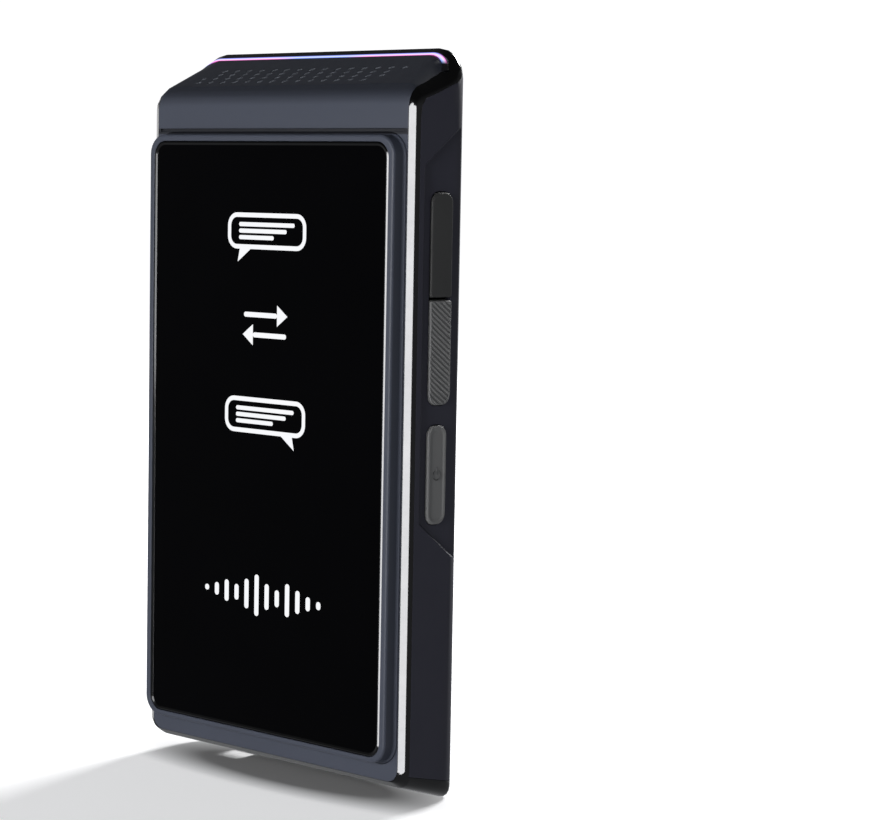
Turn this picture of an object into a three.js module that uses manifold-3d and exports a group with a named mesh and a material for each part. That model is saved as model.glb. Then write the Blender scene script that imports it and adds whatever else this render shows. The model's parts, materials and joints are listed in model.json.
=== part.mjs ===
// Handheld translator: a glass screen in a raised bezel, a sloped speaker face with a light bar above it,
// a polished ring between the front frame and the rear shell, side keys, a card tray and a rear camera.
// Units are millimetres. X is to the right seen from the front, Y points to the back and Z up.
// While the pieces are made, Y starts at the flat front face and Z at half the height.

import * as THREE from 'three';
import { mergeVertices } from 'three/addons/utils/BufferGeometryUtils.js';
import Module from 'manifold-3d';

const wasm = await Module();
wasm.setup();

// Driving sizes of the whole body
const bodyWidth = 73.6;
const bodyHeight = 146.6;
const bodyDepth = 16.8;
const faceThickness = 1;
const shellWall = 1.8;

// Clearances: between seated faces, round a piece let into a pocket, round a piece that moves
const seatGap = 0.05;
const fitGap = 0.1;
const runningGap = 0.15;
// Cuts run past the surface that they open by this much
const overrun = 3;

const halfWidth = bodyWidth / 2;
const topZ = bodyHeight / 2;
const bottomZ = -bodyHeight / 2;

// Outer form: angles in degrees, depths measured back from the front face
const form = {
  faceSetback: 1.7,
  bevelAngle: 63.4,
  bevelDepth: 1.7,
  shoulderAngle: 16.7,
  backEdgeRadius: 5.5,
  topBackRadius: 2.7,
  ridgeFromBack: 2.7,
  slopeRise: 8.5,
  creaseRadius: 6,
  chinRise: 5.2,
  chinBevelAngle: 34.5,
  chinAngle: 17.2,
  footSetback: 2.45,
  footRadius: 1,
  footStripAngle: 73.6,
  footStripHeight: 1.9,
  taperDepth: 1.2,
  taperHeight: 14.2,
  slopeCornerRadius: 2.8,
  slopeCornerGrowthShare: 0.44,
  topCornerRadius: 7,
  bottomCornerRadius: 3.4,
  leastCornerRadius: 0.8,
};
const cornerSteps = 4;
const backEdgeSteps = 5;
const creaseSteps = 4;
const footSteps = 3;
const archSteps = 8;
const taperSteps = 3;
const leastLayerStep = 0.02;
const sliverVolume = 0.0001;
const lensSides = 24;
const roundSides = 24;
const bossSides = 16;
const holeSides = 12;
const pinSides = 10;

// Screen: the bezel stands on the front face and carries the glass
const bezel = {
  headerHeight: 17.05,
  lipHeight: 8.9,
  sideMargin: 0.7,
  rise: 3,
  rimWidth: 1.5,
  topRimWidth: 1.35,
  bottomRimWidth: 1.2,
  cornerRadius: 4,
  rimRound: 0.5,
  footFlare: 0.6,
  ledgeWidth: 1.2,
};
// Shares of the rim's round and of the foot's flare, in depth and in growth
const rimCurveShares = [[0, 1], [0.3, 0.3], [1, 0]];
const flareCurveShares = [[1, 0], [0.5, 0.16], [0.15, 0.5], [0, 1]];
const glass = { sink: 0.2, thickness: 0.9, cornerRadius: 3 };
const headerGroove = { width: 0.6, depth: 0.45, gap: 0.05 };

// Front frame and ring
const frameTopDrop = 1.4;
const frameFromBack = 3.95;
const frameTopCornerRadius = 5.5;
const frameBottomCornerRadius = 2.6;
const seam = { depth: 1.7, fromBack: 2.2, shoulderDrop: 14.5, topDrop: 5.2, footRiseFront: 6.4, footRiseBack: 2.3 };
// Shares of the seam's run backwards and of its rise, up round the sloped head
const seamCurveShares = [[0, 0], [0.03, 0.34], [0.12, 0.48], [0.38, 0.6], [0.83, 0.84], [1, 1]];
const ring = { thickness: 2.75, openingMargin: 1.2, lipLength: 2, lipOverlap: 0.3, openingRadius: 4.5 };
const ringOpeningTopDrop = 3.1;

// Speaker in the sloped head
const speakerHoles = {
  rows: 4,
  columns: 16,
  sideMargin: 8.1,
  rowPitch: 1.56,
  length: 1.5,
  width: 0.8,
  tilt: 24,
  centreShare: 0.395,
};
const lastColumn = speakerHoles.columns - 1;
// Places round the half circle at each end of a hole, in degrees
const holeEndSwings = [-60, 0, 60];
const speakerMesh = { thickness: 0.3, margin: 0.1, sink: 1.2 };
const speaker = { thickness: 3.1, margin: 0.4, rim: 1.2, bowlDepth: 1 };

// Light bar along the ridge above the speaker
const light = { width: 0.55, endDrop: 4.8, depth: 1.6, bladeEndGap: 9.8, bladeDepth: 0.9 };
const lightBoard = { thickness: 0.85, depth: 2.7, inset: 0.2 };

// Inside: a plate on the front frame carries the boards and the battery
const chassis = {
  thickness: 0.8,
  sideGap: 0.3,
  topDrop: 12.3,
  bottomRise: 8.3,
  wallThickness: 0.8,
  padRadius: 2,
  padFromBoardTop: 7.5,
  padAboveBend: 5,
  padAcrossShare: 0.62,
  lowerPadAcrossShare: 0.37,
  cornerRadius: 3,
};
const boardStandoff = 2.55;
const boardThickness = 1;
const mainBoard = { topDrop: 11.7, bottomDrop: 60.8, legWidth: 18.5, legOverhang: 2, cornerRadius: 1.5 };
const subBoard = { chinGap: 0.25, height: 16.5, cornerRadius: 1.5 };
const battery = { thickness: 7.6, gap: 2.5, legGap: 2, cornerRadius: 1.5, wallGap: 0.3 };
const can = { height: 2.4, cornerRadius: 1 };
const upperCan = { width: 30, height: 17, rightOfCentre: 7, belowTop: 9.5 };
const lowerCan = { sideMargin: 2.5, height: 26, belowBend: 6 };
const linkFlex = { width: 5, thickness: 0.25, overlap: 1.6, fromLegEdge: 3 };
const motor = { radius: 5, thickness: 2.8, fromBoardSide: 11.6, aboveEdge: 8.4 };
const topMicrophone = { width: 3.5, height: 2.7, thickness: 1.1, fromBoardSide: 9.1, belowEdge: 1.6 };
const bottomMicrophone = { width: 3.5, height: 2.7, thickness: 1.1, across: 14, aboveEdge: 0.4, portRadius: 0.5 };
const antenna = { boardSideGap: 2.1, windowGap: 2.1, height: 17, thickness: 0.6, belowTop: 11.5 };

// Rear shell, its inlaid panel and the screws under it
const backPanel = {
  sideMargin: 5.8,
  thickness: 0.8,
  archDrop: 34.9,
  archRise: 4.5,
  archFootShare: 0.2,
  bottomRise: 15.9,
  topCornerRadius: 4.5,
  bottomCornerRadius: 6.5,
};
const screw = {
  fromPanelSide: 3.5,
  belowArchCorner: 3.9,
  aboveBottom: 3.4,
  headRadius: 2.2,
  headHeight: 1.4,
  headEdge: 0.45,
  tipShare: 0.6,
  shaftRadius: 1,
  shaftLength: 7,
  crossLength: 2.6,
  crossWidth: 0.6,
  crossDepth: 0.7,
};
const boss = { radius: 3.5, height: 2.1, floor: 1 };
const post = { radius: 2.5, holeGap: 0.2 };
const sideRecess = { depth: 0.6, frontDepth: 3.95, slopeWidth: 0.9, top: 22.6, bottom: 91.15, endSlopeShare: 0.74 };

// Camera window
const cameraWindow = {
  topDrop: 7.4,
  height: 23.2,
  topWidth: 24.6,
  bottomWidth: 17.4,
  cornerRadius: 2.4,
  edgeBow: 0.7,
  thickness: 1,
  sink: 0.7,
  slopeWidth: 3,
  slopeBendDepthShare: 0.25,
  slopeBendWidthShare: 0.35,
  ledgeHeight: 1.05,
  ledgeMargin: 1.6,
};
const lens = {
  belowWindowTop: 7.5,
  ringRadius: 5.35,
  ringRise: 0.45,
  ringEdge: 0.18,
  barrelRadius: 4.6,
  openingRadius: 3.6,
  glassThickness: 1.1,
  glassSink: 0.5,
  dome: 0.35,
  ringFunnel: 0.6,
};
// Shares of the lens's radius and of its dome's height
const domeCurveShares = [[1, 0], [0.7, 0.55], [0.35, 0.88], [0, 1]];
const cameraModule = { size: 8.4, bodyHeight: 4, barrelRadius: 3.4, cornerRadius: 1 };
const flash = { width: 7.8, height: 4.9, cornerRadius: 1.5, aboveWindowBottom: 4.2, ledSize: 3, ledThickness: 0.8 };

// Keys: caps stand in holes of the shell's sides and press on switches
const keyCap = {
  cornerRadius: 2.1,
  rise: 0.55,
  edgeBevel: 0.3,
  flangeWidth: 0.5,
  flangeThickness: 0.55,
  flangeGap: 0.2,
  rockerFlangeGap: 0.42,
  rockerFlangeThickness: 0.4,
  rimWidth: 0.7,
  rimHeight: 0.18,
};
const talkKey = { width: 6, topDrop: 27.7, length: 40.8, split: 0.6, backOfMiddle: 0.2 };
const powerKey = { width: 5.3, gapBelowTalk: 3.9, length: 19.2, backOfMiddle: -0.25 };
const volumeKey = { width: 5.4, topDrop: 29.7, length: 29, backOfMiddle: 0.4, pivotRadius: 0.5, webWidth: 0.9, switchShare: 0.34 };
const talkRibs = { pitch: 1.02, width: 0.5, depth: 0.22, tilt: -34, endMargin: 3 };
const keySwitch = { size: 3.4, thickness: 0.4, domeRadius: 1.1, domeHeight: 0.35, stroke: 0.35 };
const keyBoard = { thickness: 0.8, height: 6.2, endMargin: 1.7 };

// Card tray in a hump of the ring on the left side
const hump = { frontDepth: 1, backDepth: 6.4, centreRise: 38.4, frontLength: 27.5, backLength: 19.8 };
const tray = {
  plateLength: 18.2,
  plateWidth: 3.8,
  plateThickness: 0.9,
  frontDepth: 1.3,
  bodyWidth: 17.2,
  bodyDepth: 2.2,
  bodyThickness: 1.25,
  reach: 18.9,
  pinRadius: 0.45,
  pinInset: 1.2,
};
const card = { length: 12.3, width: 8.8, thickness: 0.67, cornerCut: 1.6, fromPlate: 4.2, aboveMiddle: 3.4, recess: 0.75 };
const cardReader = { wall: 0.9, tunnelGap: 0.15, sideMargin: 1.4, startGap: 0.5, depth: 17.2 };

// Bottom end: cable socket, microphone hole and strap slot
const socket = { width: 9, height: 3.2, wall: 0.3, length: 7.4, cavity: 6.2, recess: 0.25 };
const socketTongue = { width: 6.7, thickness: 0.7, length: 5 };
const strap = {
  fromSide: 15.8,
  width: 6.5,
  height: 2.8,
  rise: 3.4,
  angle: 32,
  humpBase: 15,
  humpTop: 9.4,
  humpRise: 5.5,
  humpDepth: 4.2,
};

// Depths that the pieces share
const chassisFront = faceThickness + seatGap;
const chassisBack = chassisFront + chassis.thickness;
const boardFront = chassisBack + boardStandoff + seatGap;
const boardBack = boardFront + boardThickness;
const partsFront = boardBack + seatGap;
const shellInnerBack = bodyDepth - shellWall;
const panelFront = bodyDepth - backPanel.thickness;
const bossFront = shellInnerBack - boss.height;
const middleDepth = bodyDepth / 2;
const frameBackDepth = bodyDepth - frameFromBack;
const seamBackDepth = bodyDepth - seam.fromBack;

// Heights that the pieces share
const bezelTop = topZ - bezel.headerHeight;
const bezelBottom = bottomZ + bezel.lipHeight;
const faceHalf = halfWidth - form.faceSetback;
const bezelHalf = faceHalf - bezel.sideMargin;
const glassTop = bezelTop - bezel.topRimWidth;
const glassBottom = bezelBottom + bezel.bottomRimWidth;
const glassHalf = bezelHalf - bezel.rimWidth;
const openingHalf = glassHalf - bezel.ledgeWidth;
const openingTop = glassTop - bezel.ledgeWidth;
const openingBottom = glassBottom + bezel.ledgeWidth;
const mainBoardTop = topZ - mainBoard.topDrop;
const mainBoardBend = topZ - mainBoard.bottomDrop;
const panelArchCorner = topZ - backPanel.archDrop - backPanel.archRise;
const panelBottom = bottomZ + backPanel.bottomRise;
const upperScrewZ = panelArchCorner - screw.belowArchCorner;
const lowerScrewZ = panelBottom + screw.aboveBottom;
const trayZ = bottomZ + hump.centreRise;
const talkTop = topZ - talkKey.topDrop;
const talkBottom = talkTop - talkKey.length;
const talkMiddle = (talkTop + talkBottom) / 2;
const powerTop = talkBottom - powerKey.gapBelowTalk;
const powerBottom = powerTop - powerKey.length;
const volumeTop = topZ - volumeKey.topDrop;
const volumeBottom = volumeTop - volumeKey.length;

// Widths that the pieces share
const innerSide = halfWidth - shellWall;
const recessSide = halfWidth - sideRecess.depth;
const capFace = recessSide + keyCap.rise;
const flangeOuter = innerSide - keyCap.flangeGap;
const flangeInner = flangeOuter - keyCap.flangeThickness;
const rockerFlangeOuter = innerSide - keyCap.rockerFlangeGap;
const rockerFlangeInner = rockerFlangeOuter - keyCap.rockerFlangeThickness;
const domeTop = Math.min(flangeInner, rockerFlangeInner) - keySwitch.stroke;
const switchInner = domeTop - keySwitch.domeHeight - keySwitch.thickness;
const keyBoardOuter = switchInner - seatGap;
const keyBoardInner = keyBoardOuter - keyBoard.thickness;
const chassisWallOuter = keyBoardInner - seatGap;
const chassisWallInner = chassisWallOuter - chassis.wallThickness;
const boardHalf = chassisWallInner - battery.wallGap;
const ringInner = halfWidth - ring.thickness;
const columnPitch = (2 * (faceHalf - speakerHoles.sideMargin)) / lastColumn;
const bladeHalfLength = halfWidth - light.bladeEndGap;
const panelHalf = halfWidth - backPanel.sideMargin;
const screwAcross = panelHalf - screw.fromPanelSide;
const strapAcross = halfWidth - strap.fromSide;

// Geometry helpers

const radians = THREE.MathUtils.degToRad;

function signedVolume(geometry) {
  const index = geometry.index.array;
  const place = geometry.attributes.position;
  const a = new THREE.Vector3();
  const b = new THREE.Vector3();
  const c = new THREE.Vector3();
  let total = 0;
  for (let i = 0; i < index.length; i += 3) {
    a.fromBufferAttribute(place, index[i]);
    b.fromBufferAttribute(place, index[i + 1]);
    c.fromBufferAttribute(place, index[i + 2]);
    total += a.dot(b.cross(c));
  }
  return total;
}

function toSolid(geometry) {
  const bare = geometry.clone();
  bare.deleteAttribute('normal');
  bare.deleteAttribute('uv');
  const merged = mergeVertices(bare);
  const triVerts = new Uint32Array(merged.index.array);
  if (signedVolume(merged) < 0) {
    triVerts.reverse();
  }
  const vertProperties = new Float32Array(merged.attributes.position.array);
  return new wasm.Manifold(new wasm.Mesh({ numProp: 3, vertProperties, triVerts }));
}

// Cuts that graze each other leave slivers with no thickness, which are dropped
function withoutSlivers(solid) {
  return wasm.Manifold.union(solid.decompose().filter((body) => body.volume() > sliverVolume));
}

function toGeometry(solid) {
  const mesh = withoutSlivers(solid).getMesh();
  const geometry = new THREE.BufferGeometry();
  const places = new Float32Array(mesh.vertProperties);
  geometry.setAttribute('position', new THREE.BufferAttribute(places, mesh.numProp));
  geometry.setIndex(new THREE.BufferAttribute(new Uint32Array(mesh.triVerts), 1));
  return geometry;
}

// A closed skin through rings of points, all with the same count, closed by a fan at each end
function stack(rings) {
  const count = rings[0].length;
  const places = [];
  for (const oneRing of rings) {
    for (const point of oneRing) {
      places.push(point.x, point.y, point.z);
    }
  }
  const index = [];
  for (let layer = 0; layer < rings.length - 1; layer += 1) {
    for (let i = 0; i < count; i += 1) {
      const a = layer * count + i;
      const b = layer * count + ((i + 1) % count);
      index.push(a, b + count, b, a, a + count, b + count);
    }
  }
  const last = (rings.length - 1) * count;
  for (let i = 1; i < count - 1; i += 1) {
    index.push(0, i, i + 1, last, last + i + 1, last + i);
  }
  const geometry = new THREE.BufferGeometry();
  geometry.setAttribute('position', new THREE.Float32BufferAttribute(places, 3));
  geometry.setIndex(index);
  return toSolid(geometry);
}

// Outlines are flat lists of points. The three prisms carry them along X, Y or Z.
function extruded(points, length) {
  return new THREE.ExtrudeGeometry(new THREE.Shape(points), { depth: length, bevelEnabled: false, steps: 1 });
}

function alongX(points, from, to) {
  const turn = new THREE.Matrix4().makeBasis(
    new THREE.Vector3(0, 1, 0),
    new THREE.Vector3(0, 0, 1),
    new THREE.Vector3(1, 0, 0),
  );
  return toSolid(extruded(points, to - from).applyMatrix4(turn).translate(from, 0, 0));
}

function alongY(points, from, to) {
  const turn = new THREE.Matrix4().makeRotationX(Math.PI / 2);
  return toSolid(extruded(points, to - from).applyMatrix4(turn).translate(0, to, 0));
}

function alongZ(points, from, to) {
  return toSolid(extruded(points, to - from).translate(0, 0, from));
}

function block(x, y, z) {
  const size = [x, y, z].map((span) => span[1] - span[0]);
  const middle = [x, y, z].map((span) => (span[1] + span[0]) / 2);
  return toSolid(new THREE.BoxGeometry(...size).translate(...middle));
}

function point(across, up) {
  return new THREE.Vector2(across, up);
}

function arc(points, centre, radius, from, to, steps) {
  for (let i = 0; i <= steps; i += 1) {
    const angle = radians(from + ((to - from) * i) / steps);
    points.push(point(centre.x + radius * Math.cos(angle), centre.y + radius * Math.sin(angle)));
  }
}

// A rectangle from low to high with rounded corners, one radius below and one above
function roundedRectangle(low, high, lowRadius, highRadius = lowRadius) {
  const points = [];
  arc(points, point(high.x - lowRadius, low.y + lowRadius), lowRadius, -90, 0, cornerSteps);
  arc(points, point(high.x - highRadius, high.y - highRadius), highRadius, 0, 90, cornerSteps);
  arc(points, point(low.x + highRadius, high.y - highRadius), highRadius, 90, 180, cornerSteps);
  arc(points, point(low.x + lowRadius, low.y + lowRadius), lowRadius, 180, 270, cornerSteps);
  return points;
}

function rectangle(low, high) {
  return [point(low.x, low.y), point(high.x, low.y), point(high.x, high.y), point(low.x, high.y)];
}

function circle(centre, radius, sides) {
  const points = [];
  for (let i = 0; i < sides; i += 1) {
    const angle = (2 * Math.PI * i) / sides;
    points.push(point(centre.x + radius * Math.cos(angle), centre.y + radius * Math.sin(angle)));
  }
  return points;
}

// Outer form. Its outline from the front changes with depth: each depth has a half width, a top and a
// bottom. Each of those three follows a chain of straight edges, given by an angle and a place, so the
// inner skins are the same chains with every edge moved inwards.

function edge(depth, value, angle) {
  const turn = radians(angle);
  return { turn, reach: Math.sin(turn) * depth - Math.cos(turn) * value };
}

function moved(line, distance) {
  return { turn: line.turn, reach: line.reach + distance };
}

function meet(first, second) {
  const spread = Math.sin(second.turn - first.turn);
  const depth = (second.reach * Math.cos(first.turn) - first.reach * Math.cos(second.turn)) / spread;
  const value = (second.reach * Math.sin(first.turn) - first.reach * Math.sin(second.turn)) / spread;
  return point(depth, value);
}

function distanceInside(line, place) {
  return Math.sin(line.turn) * place.x - Math.cos(line.turn) * place.y - line.reach;
}

function tangent(centre, radius, turn) {
  return { turn, reach: Math.sin(turn) * centre.x - Math.cos(turn) * centre.y - radius };
}

function roundBetween(first, second, radius, steps) {
  const centre = meet(moved(first, radius), moved(second, radius));
  const lines = [];
  for (let i = 1; i < steps; i += 1) {
    const turn = THREE.MathUtils.lerp(first.turn, second.turn, i / steps);
    lines.push(tangent(centre, radius, turn));
  }
  return lines;
}

const frontEdge = edge(0, 0, 90);
const backEdge = edge(bodyDepth, 0, -90);

function widthChain() {
  const bevel = edge(0, faceHalf, form.bevelAngle);
  const shoulder = edge(form.bevelDepth, halfWidth, form.shoulderAngle);
  const side = edge(0, halfWidth, 0);
  const rounding = roundBetween(side, backEdge, form.backEdgeRadius, backEdgeSteps);
  return [frontEdge, bevel, shoulder, side, ...rounding, backEdge];
}

const slopeRun = bodyDepth - form.ridgeFromBack;
const slopeLength = Math.hypot(slopeRun, form.slopeRise);
const slopeAngle = THREE.MathUtils.radToDeg(Math.atan2(form.slopeRise, slopeRun));

function topChain() {
  const slope = edge(0, topZ - form.slopeRise, slopeAngle);
  const ridge = edge(0, topZ, 0);
  const crease = roundBetween(frontEdge, slope, form.creaseRadius, creaseSteps);
  const rounding = roundBetween(ridge, backEdge, form.topBackRadius, backEdgeSteps);
  return [frontEdge, ...crease, slope, ridge, ...rounding, backEdge];
}

// The bottom chain measures downwards from half the height
function bottomChain() {
  const drop = -bottomZ;
  const chinBevel = edge(0, drop - form.chinRise, form.chinBevelAngle);
  const footCentre = point(bodyDepth - form.footSetback, drop - form.footRadius);
  const chin = tangent(footCentre, form.footRadius, radians(form.chinAngle));
  const strip = tangent(footCentre, form.footRadius, radians(-form.footStripAngle));
  const foot = [];
  for (let i = 1; i < footSteps; i += 1) {
    const turn = THREE.MathUtils.lerp(chin.turn, 0, i / footSteps);
    foot.push(tangent(footCentre, form.footRadius, turn));
  }
  foot.push(edge(0, drop, 0));
  for (let i = 1; i < footSteps; i += 1) {
    const turn = THREE.MathUtils.lerp(0, strip.turn, i / footSteps);
    foot.push(tangent(footCentre, form.footRadius, turn));
  }
  const taper = [];
  const run = form.taperHeight - form.footStripHeight;
  for (let i = taperSteps; i > 0; i -= 1) {
    const share = i / taperSteps;
    const depth = bodyDepth - form.taperDepth * share * share;
    const value = drop - form.taperHeight + run * share;
    const angle = -THREE.MathUtils.radToDeg(Math.atan2(run, 2 * form.taperDepth * share));
    taper.push(edge(depth, value, angle));
  }
  return [frontEdge, chinBevel, chin, ...foot, strip, ...taper, backEdge];
}

// Corners of the space inside every edge of a chain, from front to back
function chainCorners(chain, inset, frontInset) {
  const kept = [];
  const corners = [];
  for (const line of chain.map((one) => moved(one, one === frontEdge ? frontInset : inset))) {
    while (corners.length > 0 && distanceInside(line, corners[corners.length - 1]) < 0) {
      corners.pop();
      kept.pop();
    }
    if (kept.length > 0) {
      corners.push(meet(kept[kept.length - 1], line));
    }
    kept.push(line);
  }
  return corners;
}

function valueAt(corners, depth) {
  let after = 1;
  while (after < corners.length - 1 && corners[after].x < depth) {
    after += 1;
  }
  const from = corners[after - 1];
  const to = corners[after];
  const share = THREE.MathUtils.clamp((depth - from.x) / Math.max(to.x - from.x, leastLayerStep), 0, 1);
  return THREE.MathUtils.lerp(from.y, to.y, share);
}

const widthEdges = widthChain();
const topEdges = topChain();
const bottomEdges = bottomChain();

// The body's form with every skin moved inwards, the front one by its own distance
function bodyForm(inset, frontInset = inset) {
  const widths = chainCorners(widthEdges, inset, frontInset);
  const tops = chainCorners(topEdges, inset, frontInset);
  const bottoms = chainCorners(bottomEdges, inset, frontInset);
  const growthEnd = (form.topCornerRadius - form.slopeCornerRadius) / form.slopeCornerGrowthShare;
  const depths = [...widths, ...tops, ...bottoms].map((corner) => corner.x);
  depths.push(growthEnd);
  depths.sort((a, b) => a - b);
  const rings = [];
  let lastDepth = -Infinity;
  for (const depth of depths) {
    const inRange = depth >= frontInset - leastLayerStep && depth <= bodyDepth - inset + leastLayerStep;
    if (inRange && depth - lastDepth > leastLayerStep) {
      const half = valueAt(widths, depth);
      const narrowing = halfWidth - half;
      const grown = form.slopeCornerRadius + form.slopeCornerGrowthShare * depth;
      const topRadius = Math.min(grown, form.topCornerRadius) - narrowing;
      const bottomRadius = form.bottomCornerRadius - narrowing;
      const points = roundedRectangle(
        point(-half, -valueAt(bottoms, depth)),
        point(half, valueAt(tops, depth)),
        Math.max(bottomRadius, form.leastCornerRadius),
        Math.max(topRadius, form.leastCornerRadius),
      );
      rings.push(points.map((place) => new THREE.Vector3(place.x, depth, place.y)));
      lastDepth = depth;
    }
  }
  return stack(rings);
}

const outside = bodyForm(0);

// The lower board ends just above the ring's inner skin in the chin
const chinCorners = chainCorners(bottomEdges, ring.thickness, ring.thickness);
const subBoardBottom = subBoard.chinGap - valueAt(chinCorners, boardFront);
const subBoardTop = subBoardBottom + subBoard.height;

// The part of the body behind the seam between ring and shell, seen from the side
function behindSeam(gap) {
  const run = seamBackDepth - seam.depth;
  const rise = seam.shoulderDrop - seam.topDrop;
  const points = [];
  points.push(point(bodyDepth + overrun, bottomZ + seam.footRiseBack + gap));
  points.push(point(bodyDepth + overrun, topZ + overrun));
  points.push(point(seamBackDepth + gap, topZ + overrun));
  for (const [runShare, riseShare] of [...seamCurveShares].reverse()) {
    const up = topZ - seam.shoulderDrop + rise * riseShare;
    points.push(point(seam.depth + run * runShare + gap, up - gap));
  }
  points.push(point(seam.depth + gap, bottomZ + seam.footRiseFront + gap));
  return alongX(points, -halfWidth - overrun, halfWidth + overrun);
}

// Front frame outline, seen from the front
const frameLow = point(-faceHalf, bottomZ + form.chinRise);
const frameHigh = point(faceHalf, topZ - frameTopDrop);

function frameOutline(grow) {
  return roundedRectangle(
    point(frameLow.x - grow, frameLow.y - grow),
    point(frameHigh.x + grow, frameHigh.y + grow),
    frameBottomCornerRadius + grow,
    frameTopCornerRadius + grow,
  );
}

function framePrism(grow) {
  return alongY(frameOutline(grow), -overrun, frameBackDepth);
}

function displayOpening(gap) {
  const low = point(-openingHalf + gap, openingBottom + gap);
  const high = point(openingHalf - gap, openingTop - gap);
  return roundedRectangle(low, high, glass.cornerRadius - gap);
}

// Places on the sloped face: run is the distance up the slope from its foot, sink the depth under it
const slopeTurn = radians(slopeAngle);

function onSlope(run, sink) {
  const depth = run * Math.cos(slopeTurn) + sink * Math.sin(slopeTurn);
  const up = topZ - form.slopeRise + run * Math.sin(slopeTurn) - sink * Math.cos(slopeTurn);
  return point(depth, up);
}

function slopeSlab(halfLength, runFrom, runTo, sinkFrom, sinkTo) {
  const points = [
    onSlope(runFrom, sinkTo),
    onSlope(runTo, sinkTo),
    onSlope(runTo, sinkFrom),
    onSlope(runFrom, sinkFrom),
  ];
  return alongX(points, -halfLength, halfLength);
}

const holesCentreRun = slopeLength * speakerHoles.centreShare;
const holeFieldHalf = (columnPitch * lastColumn) / 2 + speakerHoles.length / 2;
const holeFieldRun = (speakerHoles.rowPitch * (speakerHoles.rows - 1)) / 2 + speakerHoles.width / 2;

// A slanted sound hole is an outline on the slope, carried down through the frame
function speakerHole(across, run) {
  const points = [];
  const tilt = radians(speakerHoles.tilt);
  const radius = speakerHoles.width / 2;
  const straight = (speakerHoles.length - speakerHoles.width) / 2;
  for (const end of [1, -1]) {
    for (const swing of holeEndSwings) {
      const angle = radians(swing) + (end > 0 ? 0 : Math.PI);
      const along = end * straight + radius * Math.cos(angle);
      const side = radius * Math.sin(angle);
      const x = across + along * Math.cos(tilt) - side * Math.sin(tilt);
      const up = run + along * Math.sin(tilt) + side * Math.cos(tilt);
      points.push([x, up]);
    }
  }
  const above = -faceThickness / 2;
  const below = faceThickness * 2;
  const rings = [above, below].map((sink) => points.map(([x, up]) => {
    const place = onSlope(up, sink);
    return new THREE.Vector3(x, place.x, place.y);
  }));
  return stack(rings);
}

function speakerHoleIsThere(row, column) {
  const fromTop = speakerHoles.rows - 1 - row;
  if (column === 0) {
    return row < speakerHoles.rows / 2;
  }
  if (column === lastColumn) {
    return fromTop === 0;
  }
  if (column === lastColumn - 1) {
    return row > 0;
  }
  return true;
}

function allSpeakerHoles() {
  const holes = [];
  for (let column = 0; column <= lastColumn; column += 1) {
    const across = (column - lastColumn / 2) * columnPitch;
    for (let row = 0; row < speakerHoles.rows; row += 1) {
      if (speakerHoleIsThere(row, column)) {
        const up = (row - (speakerHoles.rows - 1) / 2) * speakerHoles.rowPitch;
        holes.push(speakerHole(across, holesCentreRun + up));
      }
    }
  }
  return wasm.Manifold.union(holes);
}

// Front pieces

function frontFrame() {
  const grooveLow = bezelTop + bezel.footFlare + headerGroove.gap;
  const groove = block(
    [-bezelHalf, bezelHalf],
    [-overrun, headerGroove.depth],
    [grooveLow, grooveLow + headerGroove.width],
  );
  return outside
    .intersect(framePrism(0))
    .subtract(bodyForm(faceThickness))
    .subtract(alongY(displayOpening(0), -overrun, faceThickness + overrun))
    .subtract(groove)
    .subtract(allSpeakerHoles());
}

// Bezel: rings of one outline, flared at the foot and rounded at the rim
function displayBezel() {
  const foot = -seatGap;
  const rim = -bezel.rise;
  const levels = [
    ...rimCurveShares.map(([back, inwards]) => [rim + bezel.rimRound * back, -bezel.rimRound * inwards]),
    ...flareCurveShares.map(([front, out]) => [foot - bezel.footFlare * front, bezel.footFlare * out]),
  ];
  const rings = levels.map(([depth, grow]) => {
    const low = point(-bezelHalf - grow, bezelBottom - grow);
    const high = point(bezelHalf + grow, bezelTop + grow);
    const points = roundedRectangle(low, high, bezel.cornerRadius + grow);
    return points.map((place) => new THREE.Vector3(place.x, depth, place.y));
  });
  const seatDepth = glass.sink + glass.thickness + seatGap - bezel.rise;
  return stack(rings)
    .subtract(alongY(glassOutline(-fitGap / 2), -bezel.rise - overrun, seatDepth))
    .subtract(alongY(displayOpening(0), -overrun - bezel.rise, overrun));
}

function glassOutline(shrink) {
  const low = point(-glassHalf + shrink, glassBottom + shrink);
  const high = point(glassHalf - shrink, glassTop - shrink);
  return roundedRectangle(low, high, glass.cornerRadius - shrink);
}

function displayGlass() {
  const front = glass.sink - bezel.rise;
  return alongY(glassOutline(0), front, front + glass.thickness);
}

function displayPanel() {
  const front = glass.sink + glass.thickness + seatGap - bezel.rise;
  return alongY(displayOpening(seatGap + fitGap), front, chassisFront - seatGap);
}

// The light guide: a strip round the top of the front frame and a blade down to the light board

const ringOpeningTop = topZ - ringOpeningTopDrop;
const lightBoardTop = ringOpeningTop - seatGap;

function lightBar(grow) {
  const bladeFront = frameBackDepth + fitGap;
  const bladeBack = bladeFront + light.bladeDepth;
  const inner = framePrism(fitGap - grow);
  const outer = alongY(frameOutline(light.width + grow), -overrun, bladeBack + grow);
  const window = block(
    [-halfWidth, halfWidth],
    [0, bladeBack + grow],
    [topZ - light.endDrop - grow, topZ + overrun],
  );
  const guide = outside.subtract(bodyForm(light.depth + grow)).intersect(outer).subtract(inner);
  const blade = block(
    [-bladeHalfLength - grow, bladeHalfLength + grow],
    [bladeFront - grow, bladeBack + grow],
    [ringOpeningTop - grow, frameHigh.y + light.width],
  );
  return guide.intersect(window).add(blade);
}

// Polished ring between front frame and shell, with its lip inside the shell and its two humps

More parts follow.
